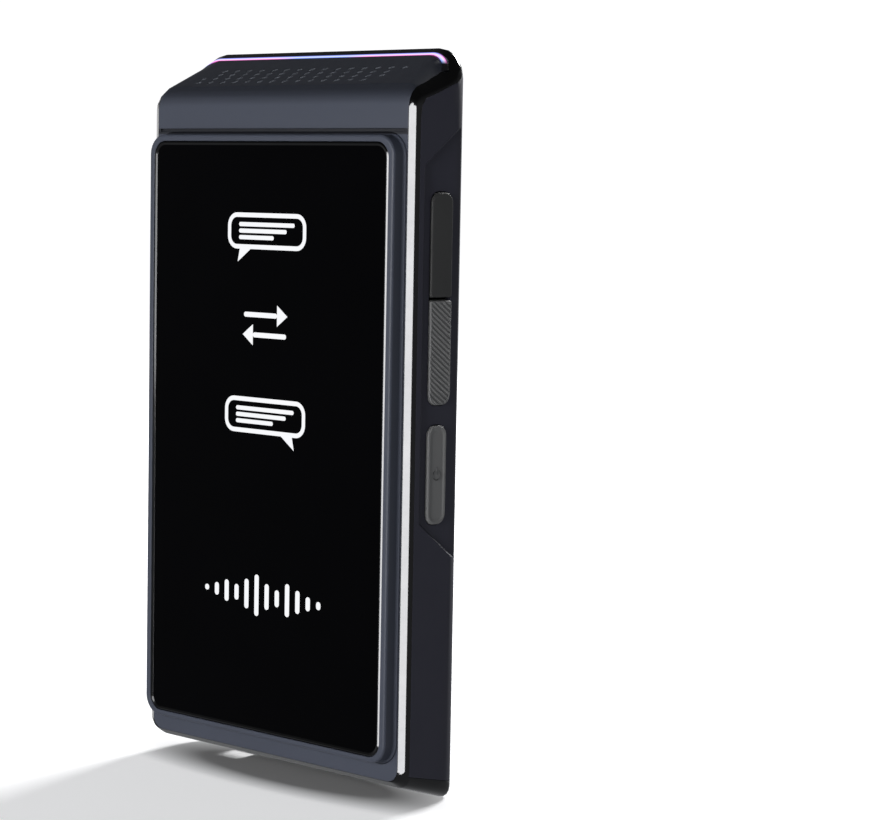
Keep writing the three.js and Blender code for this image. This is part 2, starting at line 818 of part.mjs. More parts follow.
function humpPrism(grow) {
  const front = hump.frontLength / 2 + grow;
  const back = hump.backLength / 2 + grow;
  const points = [
    point(hump.frontDepth, trayZ - front),
    point(hump.backDepth + grow, trayZ - back),
    point(hump.backDepth + grow, trayZ + back),
    point(hump.frontDepth, trayZ + front),
  ];
  return alongX(points, -halfWidth - overrun, -ringInner + grow);
}

function strapHump(grow) {
  const base = strap.humpBase / 2 + grow;
  const top = strap.humpTop / 2 + grow;
  const points = [
    point(-strapAcross - base, bottomZ - overrun),
    point(-strapAcross + base, bottomZ - overrun),
    point(-strapAcross + base, bottomZ + seam.footRiseBack),
    point(-strapAcross + top, bottomZ + strap.humpRise + grow),
    point(-strapAcross - top, bottomZ + strap.humpRise + grow),
    point(-strapAcross - base, bottomZ + seam.footRiseBack),
  ];
  return alongY(points, bodyDepth - strap.humpDepth - grow, bodyDepth + overrun);
}

function strapTunnel() {
  const turn = radians(strap.angle);
  const start = point(bodyDepth - form.taperDepth, bottomZ + strap.rise);
  const along = point(Math.cos(turn), Math.sin(turn));
  const across = point(-Math.sin(turn), Math.cos(turn));
  const halfHeight = strap.height / 2;
  const corner = (reach, side) => point(
    start.x + along.x * reach + across.x * side,
    start.y + along.y * reach + across.y * side,
  );
  const inward = -strap.humpDepth * 2;
  const points = [
    corner(inward, -halfHeight),
    corner(overrun, -halfHeight),
    corner(overrun, halfHeight),
    corner(inward, halfHeight),
  ];
  return alongX(points, -strapAcross - strap.width / 2, -strapAcross + strap.width / 2);
}

const socketDepth = partsFront + socket.height / 2;

function socketOutline(grow) {
  const low = point(-socket.width / 2 - grow, socketDepth - socket.height / 2 - grow);
  const high = point(socket.width / 2 + grow, socketDepth + socket.height / 2 + grow);
  return roundedRectangle(low, high, socket.height / 2 + grow - seatGap);
}

function microphonePort() {
  const centre = point(bottomMicrophone.across, partsFront + bottomMicrophone.thickness / 2);
  return alongZ(circle(centre, bottomMicrophone.portRadius, pinSides), bottomZ - overrun, subBoardBottom);
}

function trayOpenings() {
  const plate = roundedRectangle(
    point(tray.frontDepth - fitGap, trayZ - tray.plateLength / 2 - fitGap),
    point(tray.frontDepth + tray.plateWidth + fitGap, trayZ + tray.plateLength / 2 + fitGap),
    tray.plateWidth / 2,
  );
  const body = rectangle(
    point(tray.bodyDepth - runningGap, trayZ - tray.bodyWidth / 2 - runningGap),
    point(tray.bodyDepth + tray.bodyThickness + runningGap, trayZ + tray.bodyWidth / 2 + runningGap),
  );
  return alongX(plate, -halfWidth - overrun, -halfWidth + tray.plateThickness + seatGap)
    .add(alongX(body, -halfWidth - overrun, -ringInner + overrun));
}

function trimRing() {
  const inner = bodyForm(ring.thickness);
  const frameSpace = framePrism(seatGap).subtract(bodyForm(faceThickness + seatGap));
  const opening = alongY(
    roundedRectangle(
      point(-ringInner, frameLow.y + ring.openingMargin + faceThickness),
      point(ringInner, ringOpeningTop),
      ring.openingRadius,
    ),
    -overrun,
    bodyDepth,
  );
  const band = outside.subtract(behindSeam(0)).subtract(inner).subtract(frameSpace).subtract(opening);
  const lip = bodyForm(shellWall + seatGap)
    .subtract(inner)
    .intersect(behindSeam(-ring.lipOverlap))
    .subtract(behindSeam(ring.lipLength))
    .subtract(opening);
  const humps = outside.subtract(inner).intersect(humpPrism(0).add(strapHump(0)));
  return band
    .add(lip.subtract(frameSpace))
    .add(humps.subtract(frameSpace))
    .subtract(lightBar(seatGap))
    .subtract(trayOpenings())
    .subtract(strapTunnel())
    .subtract(alongZ(socketOutline(fitGap), bottomZ - overrun, subBoardBottom))
    .subtract(microphonePort());
}

// Rear shell

function panelOutline(grow) {
  const half = panelHalf + grow;
  const low = panelBottom - grow;
  const cornerZ = panelArchCorner + grow;
  const points = [];
  const lowRadius = backPanel.bottomCornerRadius + grow;
  const highRadius = backPanel.topCornerRadius + grow;
  arc(points, point(half - lowRadius, low + lowRadius), lowRadius, -90, 0, cornerSteps);
  const archTop = half - highRadius;
  const archTurn = THREE.MathUtils.radToDeg(Math.atan2(2 * backPanel.archRise, archTop));
  const archFoot = cornerZ + backPanel.archRise * backPanel.archFootShare;
  const archCrown = backPanel.archRise - backPanel.archRise * backPanel.archFootShare;
  arc(points, point(half - highRadius, archFoot - highRadius), highRadius, 0, 90 - archTurn / 2, cornerSteps);
  for (let i = 1; i < archSteps; i += 1) {
    const share = 1 - (2 * i) / archSteps;
    const x = (archTop + highRadius * Math.sin(radians(archTurn / 2))) * share;
    points.push(point(x, archFoot + archCrown * (1 - share * share)));
  }
  arc(points, point(highRadius - half, archFoot - highRadius), highRadius, 90 + archTurn / 2, 180, cornerSteps);
  arc(points, point(lowRadius - half, low + lowRadius), lowRadius, 180, 270, cornerSteps);
  return points;
}

// Camera window outline: a trapezoid, wide side up, with bowed edges and rounded corners
function windowOutline(grow) {
  const top = topZ - cameraWindow.topDrop;
  const bottom = top - cameraWindow.height;
  const radius = cameraWindow.cornerRadius;
  const centres = [
    point(cameraWindow.bottomWidth / 2 - radius, bottom + radius),
    point(cameraWindow.topWidth / 2 - radius, top - radius),
    point(radius - cameraWindow.topWidth / 2, top - radius),
    point(radius - cameraWindow.bottomWidth / 2, bottom + radius),
  ];
  const points = [];
  centres.forEach((centre, corner) => {
    arc(points, centre, radius + grow, corner * 90 - 90, corner * 90, cornerSteps);
    if (corner === 1) {
      points.push(point(0, top + grow + cameraWindow.edgeBow));
    }
  });
  points.push(point(0, bottom - grow - cameraWindow.edgeBow));
  return points;
}

const windowBack = bodyDepth - cameraWindow.sink;
const windowFront = windowBack - cameraWindow.thickness;
const lensZ = topZ - cameraWindow.topDrop - lens.belowWindowTop;
const flashZ = topZ - cameraWindow.topDrop - cameraWindow.height + flash.aboveWindowBottom;

function windowCut() {
  const rings = [
    [bodyDepth + cameraWindow.sink, cameraWindow.slopeWidth * 2],
    [bodyDepth, cameraWindow.slopeWidth],
    [
      windowBack + cameraWindow.sink * cameraWindow.slopeBendDepthShare,
      cameraWindow.slopeWidth * cameraWindow.slopeBendWidthShare,
    ],
    [windowBack, fitGap],
    [windowFront - seatGap, fitGap],
  ].map(([depth, grow]) => windowOutline(grow).map((place) => new THREE.Vector3(place.x, depth, place.y)));
  return stack(rings);
}

function flashOutline(grow) {
  const low = point(-flash.width / 2 - grow, flashZ - flash.height / 2 - grow);
  const high = point(flash.width / 2 + grow, flashZ + flash.height / 2 + grow);
  return roundedRectangle(low, high, flash.cornerRadius + grow);
}

// A shallow flat field in the shell's side, with sloped ends, open to the rounded back edge
function sideField(side) {
  const ring0 = [];
  const ring1 = [];
  const back = bodyDepth + overrun;
  const run = back - sideRecess.frontDepth;
  const low = topZ - sideRecess.bottom;
  const high = topZ - sideRecess.top;
  const outline = (grow) => [
    point(sideRecess.frontDepth - grow, low),
    point(back, low - run * sideRecess.endSlopeShare - grow),
    point(back, high + run * sideRecess.endSlopeShare + grow),
    point(sideRecess.frontDepth - grow, high),
  ];
  for (const place of outline(0)) {
    ring0.push(new THREE.Vector3(side * recessSide, place.x, place.y));
  }
  for (const place of outline(sideRecess.slopeWidth)) {
    ring1.push(new THREE.Vector3(side * halfWidth, place.x, place.y));
  }
  const ring2 = ring1.map((place) => new THREE.Vector3(side * (halfWidth + overrun), place.y, place.z));
  return stack([ring0, ring1, ring2]);
}

// Keys

function keyOutline(middleY, width, low, high, grow) {
  const half = width / 2 + grow;
  return roundedRectangle(
    point(middleY - half, low - grow),
    point(middleY + half, high + grow),
    keyCap.cornerRadius + grow,
  );
}

const talkY = middleDepth + talkKey.backOfMiddle;
const powerY = middleDepth + powerKey.backOfMiddle;
const volumeY = middleDepth + volumeKey.backOfMiddle;

function keyHoles() {
  const talk = keyOutline(talkY, talkKey.width, talkBottom, talkTop, runningGap);
  const power = keyOutline(powerY, powerKey.width, powerBottom, powerTop, runningGap);
  const volume = keyOutline(volumeY, volumeKey.width, volumeBottom, volumeTop, runningGap);
  return alongX(talk, 0, halfWidth + overrun)
    .add(alongX(power, 0, halfWidth + overrun))
    .add(alongX(volume, -halfWidth - overrun, 0));
}

function screwPlaces() {
  const places = [];
  for (const z of [upperScrewZ, lowerScrewZ]) {
    for (const side of [-1, 1]) {
      places.push(point(side * screwAcross, z));
    }
  }
  return places;
}

function rearShell() {
  const ledge = alongY(
    windowOutline(cameraWindow.ledgeMargin),
    windowFront - seatGap - cameraWindow.ledgeHeight,
    shellInnerBack + shellWall / 2,
  );
  let shell = outside
    .intersect(behindSeam(seatGap))
    .subtract(bodyForm(shellWall, 0))
    .add(ledge)
    .subtract(humpPrism(seatGap))
    .subtract(strapHump(seatGap))
    .subtract(alongY(panelOutline(fitGap), panelFront - seatGap, bodyDepth + overrun))
    .subtract(windowCut())
    .subtract(sideField(1))
    .subtract(sideField(-1))
    .subtract(keyHoles());
  const cameraHole = circle(point(0, lensZ), cameraModule.barrelRadius + fitGap, roundSides);
  const ledRadius = flash.ledSize / 2 + fitGap;
  const ledHole = rectangle(point(-ledRadius, flashZ - ledRadius), point(ledRadius, flashZ + ledRadius));
  shell = shell
    .subtract(alongY(cameraHole, shellInnerBack - overrun, bodyDepth))
    .subtract(alongY(ledHole, shellInnerBack - overrun, bodyDepth));
  for (const place of screwPlaces()) {
    shell = shell
      .add(alongY(circle(place, boss.radius, bossSides), bossFront, shellInnerBack + shellWall / 4))
      .subtract(alongY(circle(place, screw.headRadius + fitGap, bossSides), bossFront + boss.floor, bodyDepth))
      .subtract(alongY(circle(place, screw.shaftRadius + fitGap, holeSides), 0, bodyDepth));
  }
  return shell;
}

function backPanelPiece() {
  return alongY(panelOutline(0), panelFront, bodyDepth);
}

// Camera and flash

function turned(profile, sides, depth, z) {
  const lathe = new THREE.LatheGeometry(profile, sides);
  return toSolid(lathe.translate(0, depth, z));
}

function windowPiece() {
  return alongY(windowOutline(0), windowFront, windowBack)
    .subtract(alongY(circle(point(0, lensZ), lens.barrelRadius + fitGap, lensSides), 0, bodyDepth))
    .subtract(alongY(flashOutline(fitGap), 0, bodyDepth));
}

function lensRing() {
  const seat = seatGap;
  const inner = lens.openingRadius + fitGap;
  const ledge = inner - lens.ringFunnel;
  const depth = cameraWindow.thickness;
  return turned([
    point(ledge, -depth),
    point(lens.barrelRadius, -depth),
    point(lens.barrelRadius, seat),
    point(lens.ringRadius, seat),
    point(lens.ringRadius, lens.ringRise - lens.ringEdge),
    point(lens.ringRadius - lens.ringEdge, lens.ringRise),
    point(inner + lens.ringEdge, lens.ringRise),
    point(inner, lens.ringRise - lens.ringEdge),
    point(inner, lens.ringFunnel - depth),
    point(ledge, lens.ringFunnel - depth),
    point(ledge, -depth),
  ], lensSides, windowBack, lensZ);
}

function lensPiece() {
  const bottom = lens.ringFunnel - cameraWindow.thickness + seatGap;
  const rim = bottom + lens.glassThickness - lens.dome - lens.glassSink;
  return turned([
    point(0, bottom),
    point(lens.openingRadius, bottom),
    ...domeCurveShares.map(([out, up]) => point(lens.openingRadius * out, rim + lens.dome * up)),
  ], lensSides, windowBack, lensZ);
}

function cameraModulePiece() {
  const halfSize = cameraModule.size / 2;
  const low = point(-halfSize, lensZ - halfSize);
  const high = point(halfSize, lensZ + halfSize);
  const bodyBack = partsFront + cameraModule.bodyHeight;
  const barrel = circle(point(0, lensZ), cameraModule.barrelRadius, roundSides);
  return alongY(roundedRectangle(low, high, cameraModule.cornerRadius), partsFront, bodyBack)
    .add(alongY(barrel, bodyBack - seatGap, windowFront - seatGap));
}

function flashLens() {
  return alongY(flashOutline(0), windowFront, windowBack + fitGap);
}

function flashLed() {
  const radius = flash.ledSize / 2;
  const back = windowFront - seatGap;
  return block([-radius, radius], [back - flash.ledThickness, back], [flashZ - radius, flashZ + radius]);
}

// Speaker

function speakerMeshPiece() {
  const run = holeFieldRun + speakerMesh.margin;
  const sink = speakerMesh.sink;
  const half = holeFieldHalf + speakerMesh.margin;
  const from = holesCentreRun - run;
  return slopeSlab(half, from, from + run * 2, sink, sink + speakerMesh.thickness);
}

function speakerModulePiece() {
  const run = holeFieldRun + speaker.margin;
  const sink = speakerMesh.sink + speakerMesh.thickness + seatGap;
  const half = holeFieldHalf + speaker.margin;
  const from = holesCentreRun - run;
  const bowl = slopeSlab(
    half - speaker.rim,
    from + speaker.rim,
    from + run * 2 - speaker.rim,
    sink - overrun,
    sink + speaker.bowlDepth,
  );
  return slopeSlab(half, from, from + run * 2, sink, sink + speaker.thickness).subtract(bowl);
}

function lightBoardPiece() {
  const back = seamBackDepth - lightBoard.inset;
  return block(
    [-bladeHalfLength, bladeHalfLength],
    [back - lightBoard.depth, back],
    [lightBoardTop - lightBoard.thickness, lightBoardTop],
  );
}

// Chassis and boards

function padPlaces() {
  const across = boardHalf * chassis.padAcrossShare;
  const upperPads = [mainBoardTop - chassis.padFromBoardTop, mainBoardBend + chassis.padAboveBend];
  const places = [];
  for (const side of [-1, 1]) {
    for (const z of upperPads) {
      places.push(point(side * across, z));
    }
    places.push(point(side * boardHalf * chassis.lowerPadAcrossShare, subBoardBottom + subBoard.height / 2));
  }
  return places;
}

function keyWall(side, middleY, low, high) {
  const x = side > 0 ? [chassisWallInner, chassisWallOuter] : [-chassisWallOuter, -chassisWallInner];
  return block(x, [chassisFront, middleY + keyBoard.height / 2], [low, high]);
}

function chassisPlate() {
  const half = ringInner - chassis.sideGap;
  let plate = alongY(
    roundedRectangle(
      point(-half, bottomZ + chassis.bottomRise),
      point(half, topZ - chassis.topDrop),
      chassis.cornerRadius,
    ),
    chassisFront,
    chassisBack,
  );
  for (const place of padPlaces()) {
    plate = plate.add(alongY(circle(place, chassis.padRadius, holeSides), chassisFront, boardFront - seatGap));
  }
  for (const place of screwPlaces()) {
    plate = plate.add(alongY(circle(place, post.radius, bossSides), chassisFront, bossFront - seatGap));
  }
  plate = plate
    .add(keyWall(1, talkY, powerBottom - keyBoard.endMargin, talkTop + keyBoard.endMargin))
    .add(keyWall(-1, volumeY, volumeBottom - keyBoard.endMargin, volumeTop + keyBoard.endMargin));
  const holeEnd = bossFront + boss.floor - screw.shaftLength - fitGap;
  for (const place of screwPlaces()) {
    plate = plate.subtract(alongY(circle(place, screw.shaftRadius + seatGap, holeSides), holeEnd, bodyDepth));
  }
  return plate;
}

const legInner = -boardHalf + mainBoard.legWidth;
const legBottom = trayZ - tray.bodyWidth / 2 - cardReader.sideMargin - mainBoard.legOverhang;

function withPostHoles(board) {
  let drilled = board;
  for (const place of screwPlaces()) {
    const hole = circle(place, post.radius + post.holeGap, bossSides);
    drilled = drilled.subtract(alongY(hole, boardFront - overrun, boardBack + overrun));
  }
  return drilled;
}

function mainBoardPiece() {
  const upper = roundedRectangle(
    point(-boardHalf, mainBoardBend),
    point(boardHalf, mainBoardTop),
    mainBoard.cornerRadius,
  );
  const leg = roundedRectangle(
    point(-boardHalf, legBottom),
    point(legInner, mainBoardBend + mainBoard.cornerRadius * 2),
    mainBoard.cornerRadius,
  );
  return withPostHoles(alongY(upper, boardFront, boardBack).add(alongY(leg, boardFront, boardBack)));
}

function subBoardPiece() {
  const outline = roundedRectangle(
    point(-boardHalf, subBoardBottom),
    point(boardHalf, subBoardTop),
    subBoard.cornerRadius,
  );
  return withPostHoles(alongY(outline, boardFront, boardBack));
}

function batteryPiece() {
  const low = point(legInner + battery.legGap, subBoardTop + battery.gap);
  const high = point(boardHalf, mainBoardBend - battery.gap);
  const front = chassisBack + seatGap;
  return alongY(roundedRectangle(low, high, battery.cornerRadius), front, front + battery.thickness);
}

function canPiece(middle, width, height) {
  const low = point(middle.x - width / 2, middle.y - height / 2);
  const high = point(middle.x + width / 2, middle.y + height / 2);
  return alongY(roundedRectangle(low, high, can.cornerRadius), partsFront, partsFront + can.height);
}

function upperCanPiece() {
  const middle = point(upperCan.rightOfCentre, mainBoardTop - upperCan.belowTop - upperCan.height / 2);
  return canPiece(middle, upperCan.width, upperCan.height);
}

function lowerCanPiece() {
  const width = mainBoard.legWidth - lowerCan.sideMargin * 2;
  const middle = point(legInner - mainBoard.legWidth / 2, mainBoardBend - lowerCan.belowBend - lowerCan.height / 2);
  return canPiece(middle, width, lowerCan.height);
}

function linkFlexPiece() {
  const right = legInner - linkFlex.fromLegEdge;
  return block(
    [right - linkFlex.width, right],
    [partsFront, partsFront + linkFlex.thickness],
    [subBoardTop - linkFlex.overlap, legBottom + linkFlex.overlap],
  );
}

function motorPiece() {
  const centre = point(motor.fromBoardSide - boardHalf, subBoardBottom + motor.aboveEdge);
  return alongY(circle(centre, motor.radius, roundSides), partsFront, partsFront + motor.thickness);
}

function microphonePiece(microphone, across, low) {
  return block(
    [across - microphone.width / 2, across + microphone.width / 2],
    [partsFront, partsFront + microphone.thickness],
    [low, low + microphone.height],
  );
}

function antennaPiece() {
  const high = topZ - antenna.belowTop;
  const right = -cameraWindow.topWidth / 2 - cameraWindow.ledgeMargin - antenna.windowGap;
  const outline = roundedRectangle(
    point(antenna.boardSideGap - boardHalf, high - antenna.height),
    point(right, high),
    can.cornerRadius,
  );
  return alongY(outline, shellInnerBack - seatGap - antenna.thickness, shellInnerBack - seatGap);
}

// Cable socket: a flat tube with a tongue, open at the bottom end
function socketPiece() {
  const chinDrop = socketDepth * Math.tan(radians(form.chinAngle));
  const mouth = bottomZ + form.chinRise - chinDrop / 2 - socket.recess;
  const back = mouth + socket.length;
  const tongueHigh = point(socketTongue.width / 2, socketDepth + socketTongue.thickness / 2);
  const tongueLow = point(-socketTongue.width / 2, socketDepth - socketTongue.thickness / 2);
  const tongueStart = mouth + socket.cavity - socketTongue.length;
  return alongZ(socketOutline(0), mouth, back)
    .subtract(alongZ(socketOutline(-socket.wall), mouth - overrun, mouth + socket.cavity))
    .add(alongZ(rectangle(tongueLow, tongueHigh), tongueStart, mouth + socket.cavity + seatGap));
}

// Screws with a flat head and a cross in it
function screwPiece(place) {
  const headFront = bossFront + boss.floor + seatGap;
  const body = turned([
    point(0, -screw.shaftLength),
    point(screw.shaftRadius * screw.tipShare, -screw.shaftLength),
    point(screw.shaftRadius, screw.shaftRadius - screw.shaftLength),
    point(screw.shaftRadius, 0),
    point(screw.headRadius, 0),
    point(screw.headRadius, screw.headHeight - screw.headEdge),
    point(screw.headRadius - screw.headEdge, screw.headHeight),
    point(0, screw.headHeight),
  ], holeSides, headFront, place.y).translate([place.x, 0, 0]);
  const arm = screw.crossLength / 2;
  const thick = screw.crossWidth / 2;
  const cutDepth = [headFront + screw.headHeight - screw.crossDepth, headFront + screw.headHeight + overrun];
  return body
    .subtract(block([place.x - arm, place.x + arm], cutDepth, [place.y - thick, place.y + thick]))
    .subtract(block([place.x - thick, place.x + thick], cutDepth, [place.y - arm, place.y + arm]));
}

// A cap is stacked from outlines at growing X: a flange inside the shell, then the bevelled cap
function cap(outline, side, flangeFrom, flangeTo) {
  const levels = [
    [flangeFrom, keyCap.flangeWidth],
    [flangeTo, keyCap.flangeWidth],
    [flangeTo, 0],
    [capFace - keyCap.edgeBevel, 0],
    [capFace, -keyCap.edgeBevel],
  ];
  const flange = alongX(outline(levels[0][1]), levels[0][0], levels[1][0]);
  const shaft = stack(levels.slice(2).map(([x, grow]) => outline(grow).map(
    (place) => new THREE.Vector3(x, place.x, place.y),
  )));
  const solid = flange.add(shaft);
  return side > 0 ? solid : mirrored(solid);
}

function mirrored(solid) {
  return solid.mirror([1, 0, 0]);
}

function talkOutline(grow) {
  return keyOutline(talkY, talkKey.width, talkBottom, talkTop, grow);
}

function halfOfTalkKey(low, high) {
  const key = cap(talkOutline, 1, flangeInner, flangeOuter);
  return key.intersect(block([0, halfWidth], [0, bodyDepth], [low, high]));
}

function talkUpper() {
  return halfOfTalkKey(talkMiddle + talkKey.split / 2, talkTop + overrun);
}

// The lower talk key has slanted ribs, left between slanted grooves
function talkLower() {
  const high = talkMiddle - talkKey.split / 2;
  let key = halfOfTalkKey(talkBottom - overrun, high);
  const turn = radians(talkRibs.tilt);
  const reach = talkKey.width / 2 - keyCap.edgeBevel;
  const groove = talkRibs.width / 2;
  const count = Math.floor((high - talkBottom - talkRibs.endMargin) / talkRibs.pitch);
  const grooves = [];
  for (let i = 0; i < count; i += 1) {
    const z = high - talkRibs.pitch * (i + 1);
    const rise = reach * Math.tan(turn);
    const points = [
      point(talkY - reach, z - rise - groove),
      point(talkY + reach, z + rise - groove),
      point(talkY + reach, z + rise + groove),
      point(talkY - reach, z - rise + groove),
    ];
    grooves.push(alongX(points, capFace - talkRibs.depth, capFace + overrun));
  }
  key = key.subtract(wasm.Manifold.union(grooves).intersect(
    block([0, halfWidth + overrun], [0, bodyDepth], [talkBottom + keyCap.rimWidth, high - keyCap.rimWidth]),
  ));
  return key;
}

function rimmed(key, outline, side) {
  const hollow = alongX(outline(-keyCap.rimWidth), capFace - keyCap.rimHeight, capFace + overrun);
  return key.subtract(side > 0 ? hollow : mirrored(hollow));
}

function powerCap() {
  const outline = (grow) => keyOutline(powerY, powerKey.width, powerBottom, powerTop, grow);
  return rimmed(cap(outline, 1, flangeInner, flangeOuter), outline, 1);
}

const volumeMiddle = (volumeTop + volumeBottom) / 2;
const pivotX = keyBoardOuter + seatGap + volumeKey.pivotRadius;

function volumeCap() {
  const outline = (grow) => keyOutline(volumeY, volumeKey.width, volumeBottom, volumeTop, grow);
  const key = rimmed(cap(outline, -1, rockerFlangeInner, rockerFlangeOuter), outline, -1);
  const halfDepth = volumeKey.width / 2;
  const round = toSolid(
    new THREE.CylinderGeometry(volumeKey.pivotRadius, volumeKey.pivotRadius, volumeKey.width, bossSides)
      .translate(-pivotX, volumeY, volumeMiddle),
  );
  const web = block(
    [-rockerFlangeOuter, -pivotX],
    [volumeY - halfDepth, volumeY + halfDepth],
    [volumeMiddle - volumeKey.webWidth / 2, volumeMiddle + volumeKey.webWidth / 2],
  );
  return key.add(round).add(web);
}

function keyBoardPiece(side, middleY, low, high) {
  const outline = roundedRectangle(
    point(middleY - keyBoard.height / 2, low - keyBoard.endMargin),
    point(middleY + keyBoard.height / 2, high + keyBoard.endMargin),
    can.cornerRadius,
  );
  const board = alongX(outline, keyBoardInner, keyBoardOuter);
  return side > 0 ? board : mirrored(board);
}

function keySwitchPiece(side, middleY, z) {
  const half = keySwitch.size / 2;
  const base = block(
    [switchInner, switchInner + keySwitch.thickness],
    [middleY - half, middleY + half],
    [z - half, z + half],
  );
  const dome = alongX(circle(point(middleY, z), keySwitch.domeRadius, bossSides), switchInner, domeTop);
  const solid = base.add(dome);
  return side > 0 ? solid : mirrored(solid);
}

// Card tray, its card and the reader on the board

const trayBack = -halfWidth + tray.reach;

function simTray() {
  const plateOutline = roundedRectangle(
    point(tray.frontDepth, trayZ - tray.plateLength / 2),
    point(tray.frontDepth + tray.plateWidth, trayZ + tray.plateLength / 2),
    tray.plateWidth / 2 - seatGap,
  );
  const face = -halfWidth + seatGap;
  const plate = alongX(plateOutline, face, -halfWidth + tray.plateThickness);
  const body = block(
    [-halfWidth + tray.plateThickness - seatGap, trayBack],
    [tray.bodyDepth, tray.bodyDepth + tray.bodyThickness],
    [trayZ - tray.bodyWidth / 2, trayZ + tray.bodyWidth / 2],
  );
  const pinZ = trayZ + tray.plateLength / 2 - tray.pinInset;
  const pinHole = circle(point(tray.frontDepth + tray.plateWidth / 2, pinZ), tray.pinRadius, pinSides);
  const recessBack = tray.bodyDepth + tray.bodyThickness;
  const recess = alongY(cardOutline(fitGap), recessBack - card.recess, recessBack + overrun);
  return plate
    .add(body)
    .subtract(recess)
    .subtract(alongX(pinHole, -halfWidth - overrun, -halfWidth + tray.plateThickness / 2));
}

function cardOutline(grow) {
  const left = -halfWidth + card.fromPlate - grow;
  const right = -halfWidth + card.fromPlate + card.length + grow;
  const middle = trayZ + card.aboveMiddle;
  const low = middle - card.width / 2 - grow;
  const high = middle + card.width / 2 + grow;
  return [
    point(left, low),
    point(right - card.cornerCut, low),
    point(right, low + card.cornerCut),
    point(right, high),
    point(left, high),
  ];
}

function simCard() {
  const front = tray.bodyDepth + tray.bodyThickness - card.recess + seatGap;
  return alongY(cardOutline(0), front, front + card.thickness);
}

function cardReaderPiece() {
  const startX = -ringInner + cardReader.startGap + seatGap;
  const endX = startX + cardReader.depth;
  const halfSpan = tray.bodyWidth / 2;
  const gap = cardReader.tunnelGap;
  const shellBlock = block(
    [startX, endX],
    [chassisBack + seatGap, boardFront - seatGap],
    [trayZ - halfSpan - cardReader.sideMargin, trayZ + halfSpan + cardReader.sideMargin],
  );
  const tunnel = block(
    [startX - overrun, endX - cardReader.wall],
    [tray.bodyDepth - gap, tray.bodyDepth + tray.bodyThickness + gap],
    [trayZ - halfSpan - gap, trayZ + halfSpan + gap],
  );
  return shellBlock.subtract(tunnel);
}

// Materials

function look(color, roughness, metalness) {
  return () => new THREE.MeshStandardMaterial({ color, roughness, metalness });
}

const slate = look(0x3a3e49, 0.55, 0);
const darkSlate = look(0x22242c, 0.5, 0);
const greySlate = look(0x35363b, 0.6, 0);
const blackChrome = look(0x14161b, 0.18, 0.9);
const blackGlass = look(0x020203, 0.05, 0);
const keyGrey = look(0x3c3e41, 0.5, 0);
const keyDark = look(0x24262a, 0.5, 0);
const lightGuide = look(0xdfe6ff, 0.2, 0);
const lensGlass = look(0x101820, 0.04, 0);
const steel = look(0x8d9196, 0.35, 1);
const boardGreen = look(0x1d4a34, 0.6, 0);
const batteryGrey = look(0x2e3136, 0.7, 0);
const contactGold = look(0xb08a3c, 0.3, 1);
const whitePlastic = look(0xe9ebee, 0.4, 0);
const blackPlastic = look(0x111214, 0.6, 0);
const flexOrange = look(0x9c5a1e, 0.5, 0);

// Assembly: the origin lies in the middle of the box round the whole part

const translator = new THREE.Group();
translator.position.set(0, -(bodyDepth - bezel.rise) / 2, 0);

function place(name, solid, material) {
  const mesh = new THREE.Mesh(toGeometry(solid), material());
  mesh.name = name;
  translator.add(mesh);
}

place('front_frame', frontFrame(), slate);
place('display_bezel', displayBezel(), slate);
place('display_glass', displayGlass(), blackGlass);
place('display_panel', displayPanel(), blackPlastic);
place('trim_ring', trimRing(), blackChrome);
place('light_bar', lightBar(0), lightGuide);
place('led_board', lightBoardPiece(), boardGreen);
place('speaker_mesh', speakerMeshPiece(), blackPlastic);
place('speaker_module', speakerModulePiece(), blackPlastic);
place('rear_shell', rearShell(), darkSlate);
place('back_panel', backPanelPiece(), greySlate);
place('camera_window', windowPiece(), blackGlass);
place('camera_lens_ring', lensRing(), blackChrome);
place('camera_lens', lensPiece(), lensGlass);
place('camera_module', cameraModulePiece(), blackPlastic);
place('flash_lens', flashLens(), whitePlastic);
place('flash_led', flashLed(), contactGold);
place('chassis_plate', chassisPlate(), steel);
place('main_board', mainBoardPiece(), boardGreen);
place('shield_can_upper', upperCanPiece(), steel);
place('shield_can_lower', lowerCanPiece(), steel);
place('battery', batteryPiece(), batteryGrey);
place('sub_board', subBoardPiece(), boardGreen);
place('board_link_flex', linkFlexPiece(), flexOrange);
place('vibration_motor', motorPiece(), steel);
place('usb_socket', socketPiece(), steel);
const topMicrophoneLow = mainBoardTop - topMicrophone.belowEdge - topMicrophone.height;
const topMicrophoneAcross = boardHalf - topMicrophone.fromBoardSide;
place('top_microphone', microphonePiece(topMicrophone, topMicrophoneAcross, topMicrophoneLow), contactGold);
const bottomMicrophoneLow = subBoardBottom + bottomMicrophone.aboveEdge;
place(
  'bottom_microphone',
  microphonePiece(bottomMicrophone, bottomMicrophone.across, bottomMicrophoneLow),
  contactGold,
);
place('top_antenna', antennaPiece(), flexOrange);
screwPlaces().forEach((where, i) => place(`shell_screw_${i + 1}`, screwPiece(where), steel));
place('talk_button_upper', talkUpper(), keyDark);
place('talk_button_lower', talkLower(), keyGrey);
place('power_button', powerCap(), keyGrey);
place('volume_rocker', volumeCap(), keyGrey);
place('right_key_board', keyBoardPiece(1, talkY, powerBottom, talkTop), boardGreen);
place('left_key_board', keyBoardPiece(-1, volumeY, volumeBottom, volumeTop), boardGreen);
place('key_switch_talk_upper', keySwitchPiece(1, talkY, (talkTop + talkMiddle) / 2), steel);
place('key_switch_talk_lower', keySwitchPiece(1, talkY, (talkBottom + talkMiddle) / 2), steel);
place('key_switch_power', keySwitchPiece(1, powerY, (powerTop + powerBottom) / 2), steel);
const volumeReach = volumeKey.length * volumeKey.switchShare;
place('key_switch_volume_up', keySwitchPiece(-1, volumeY, volumeMiddle + volumeReach), steel);
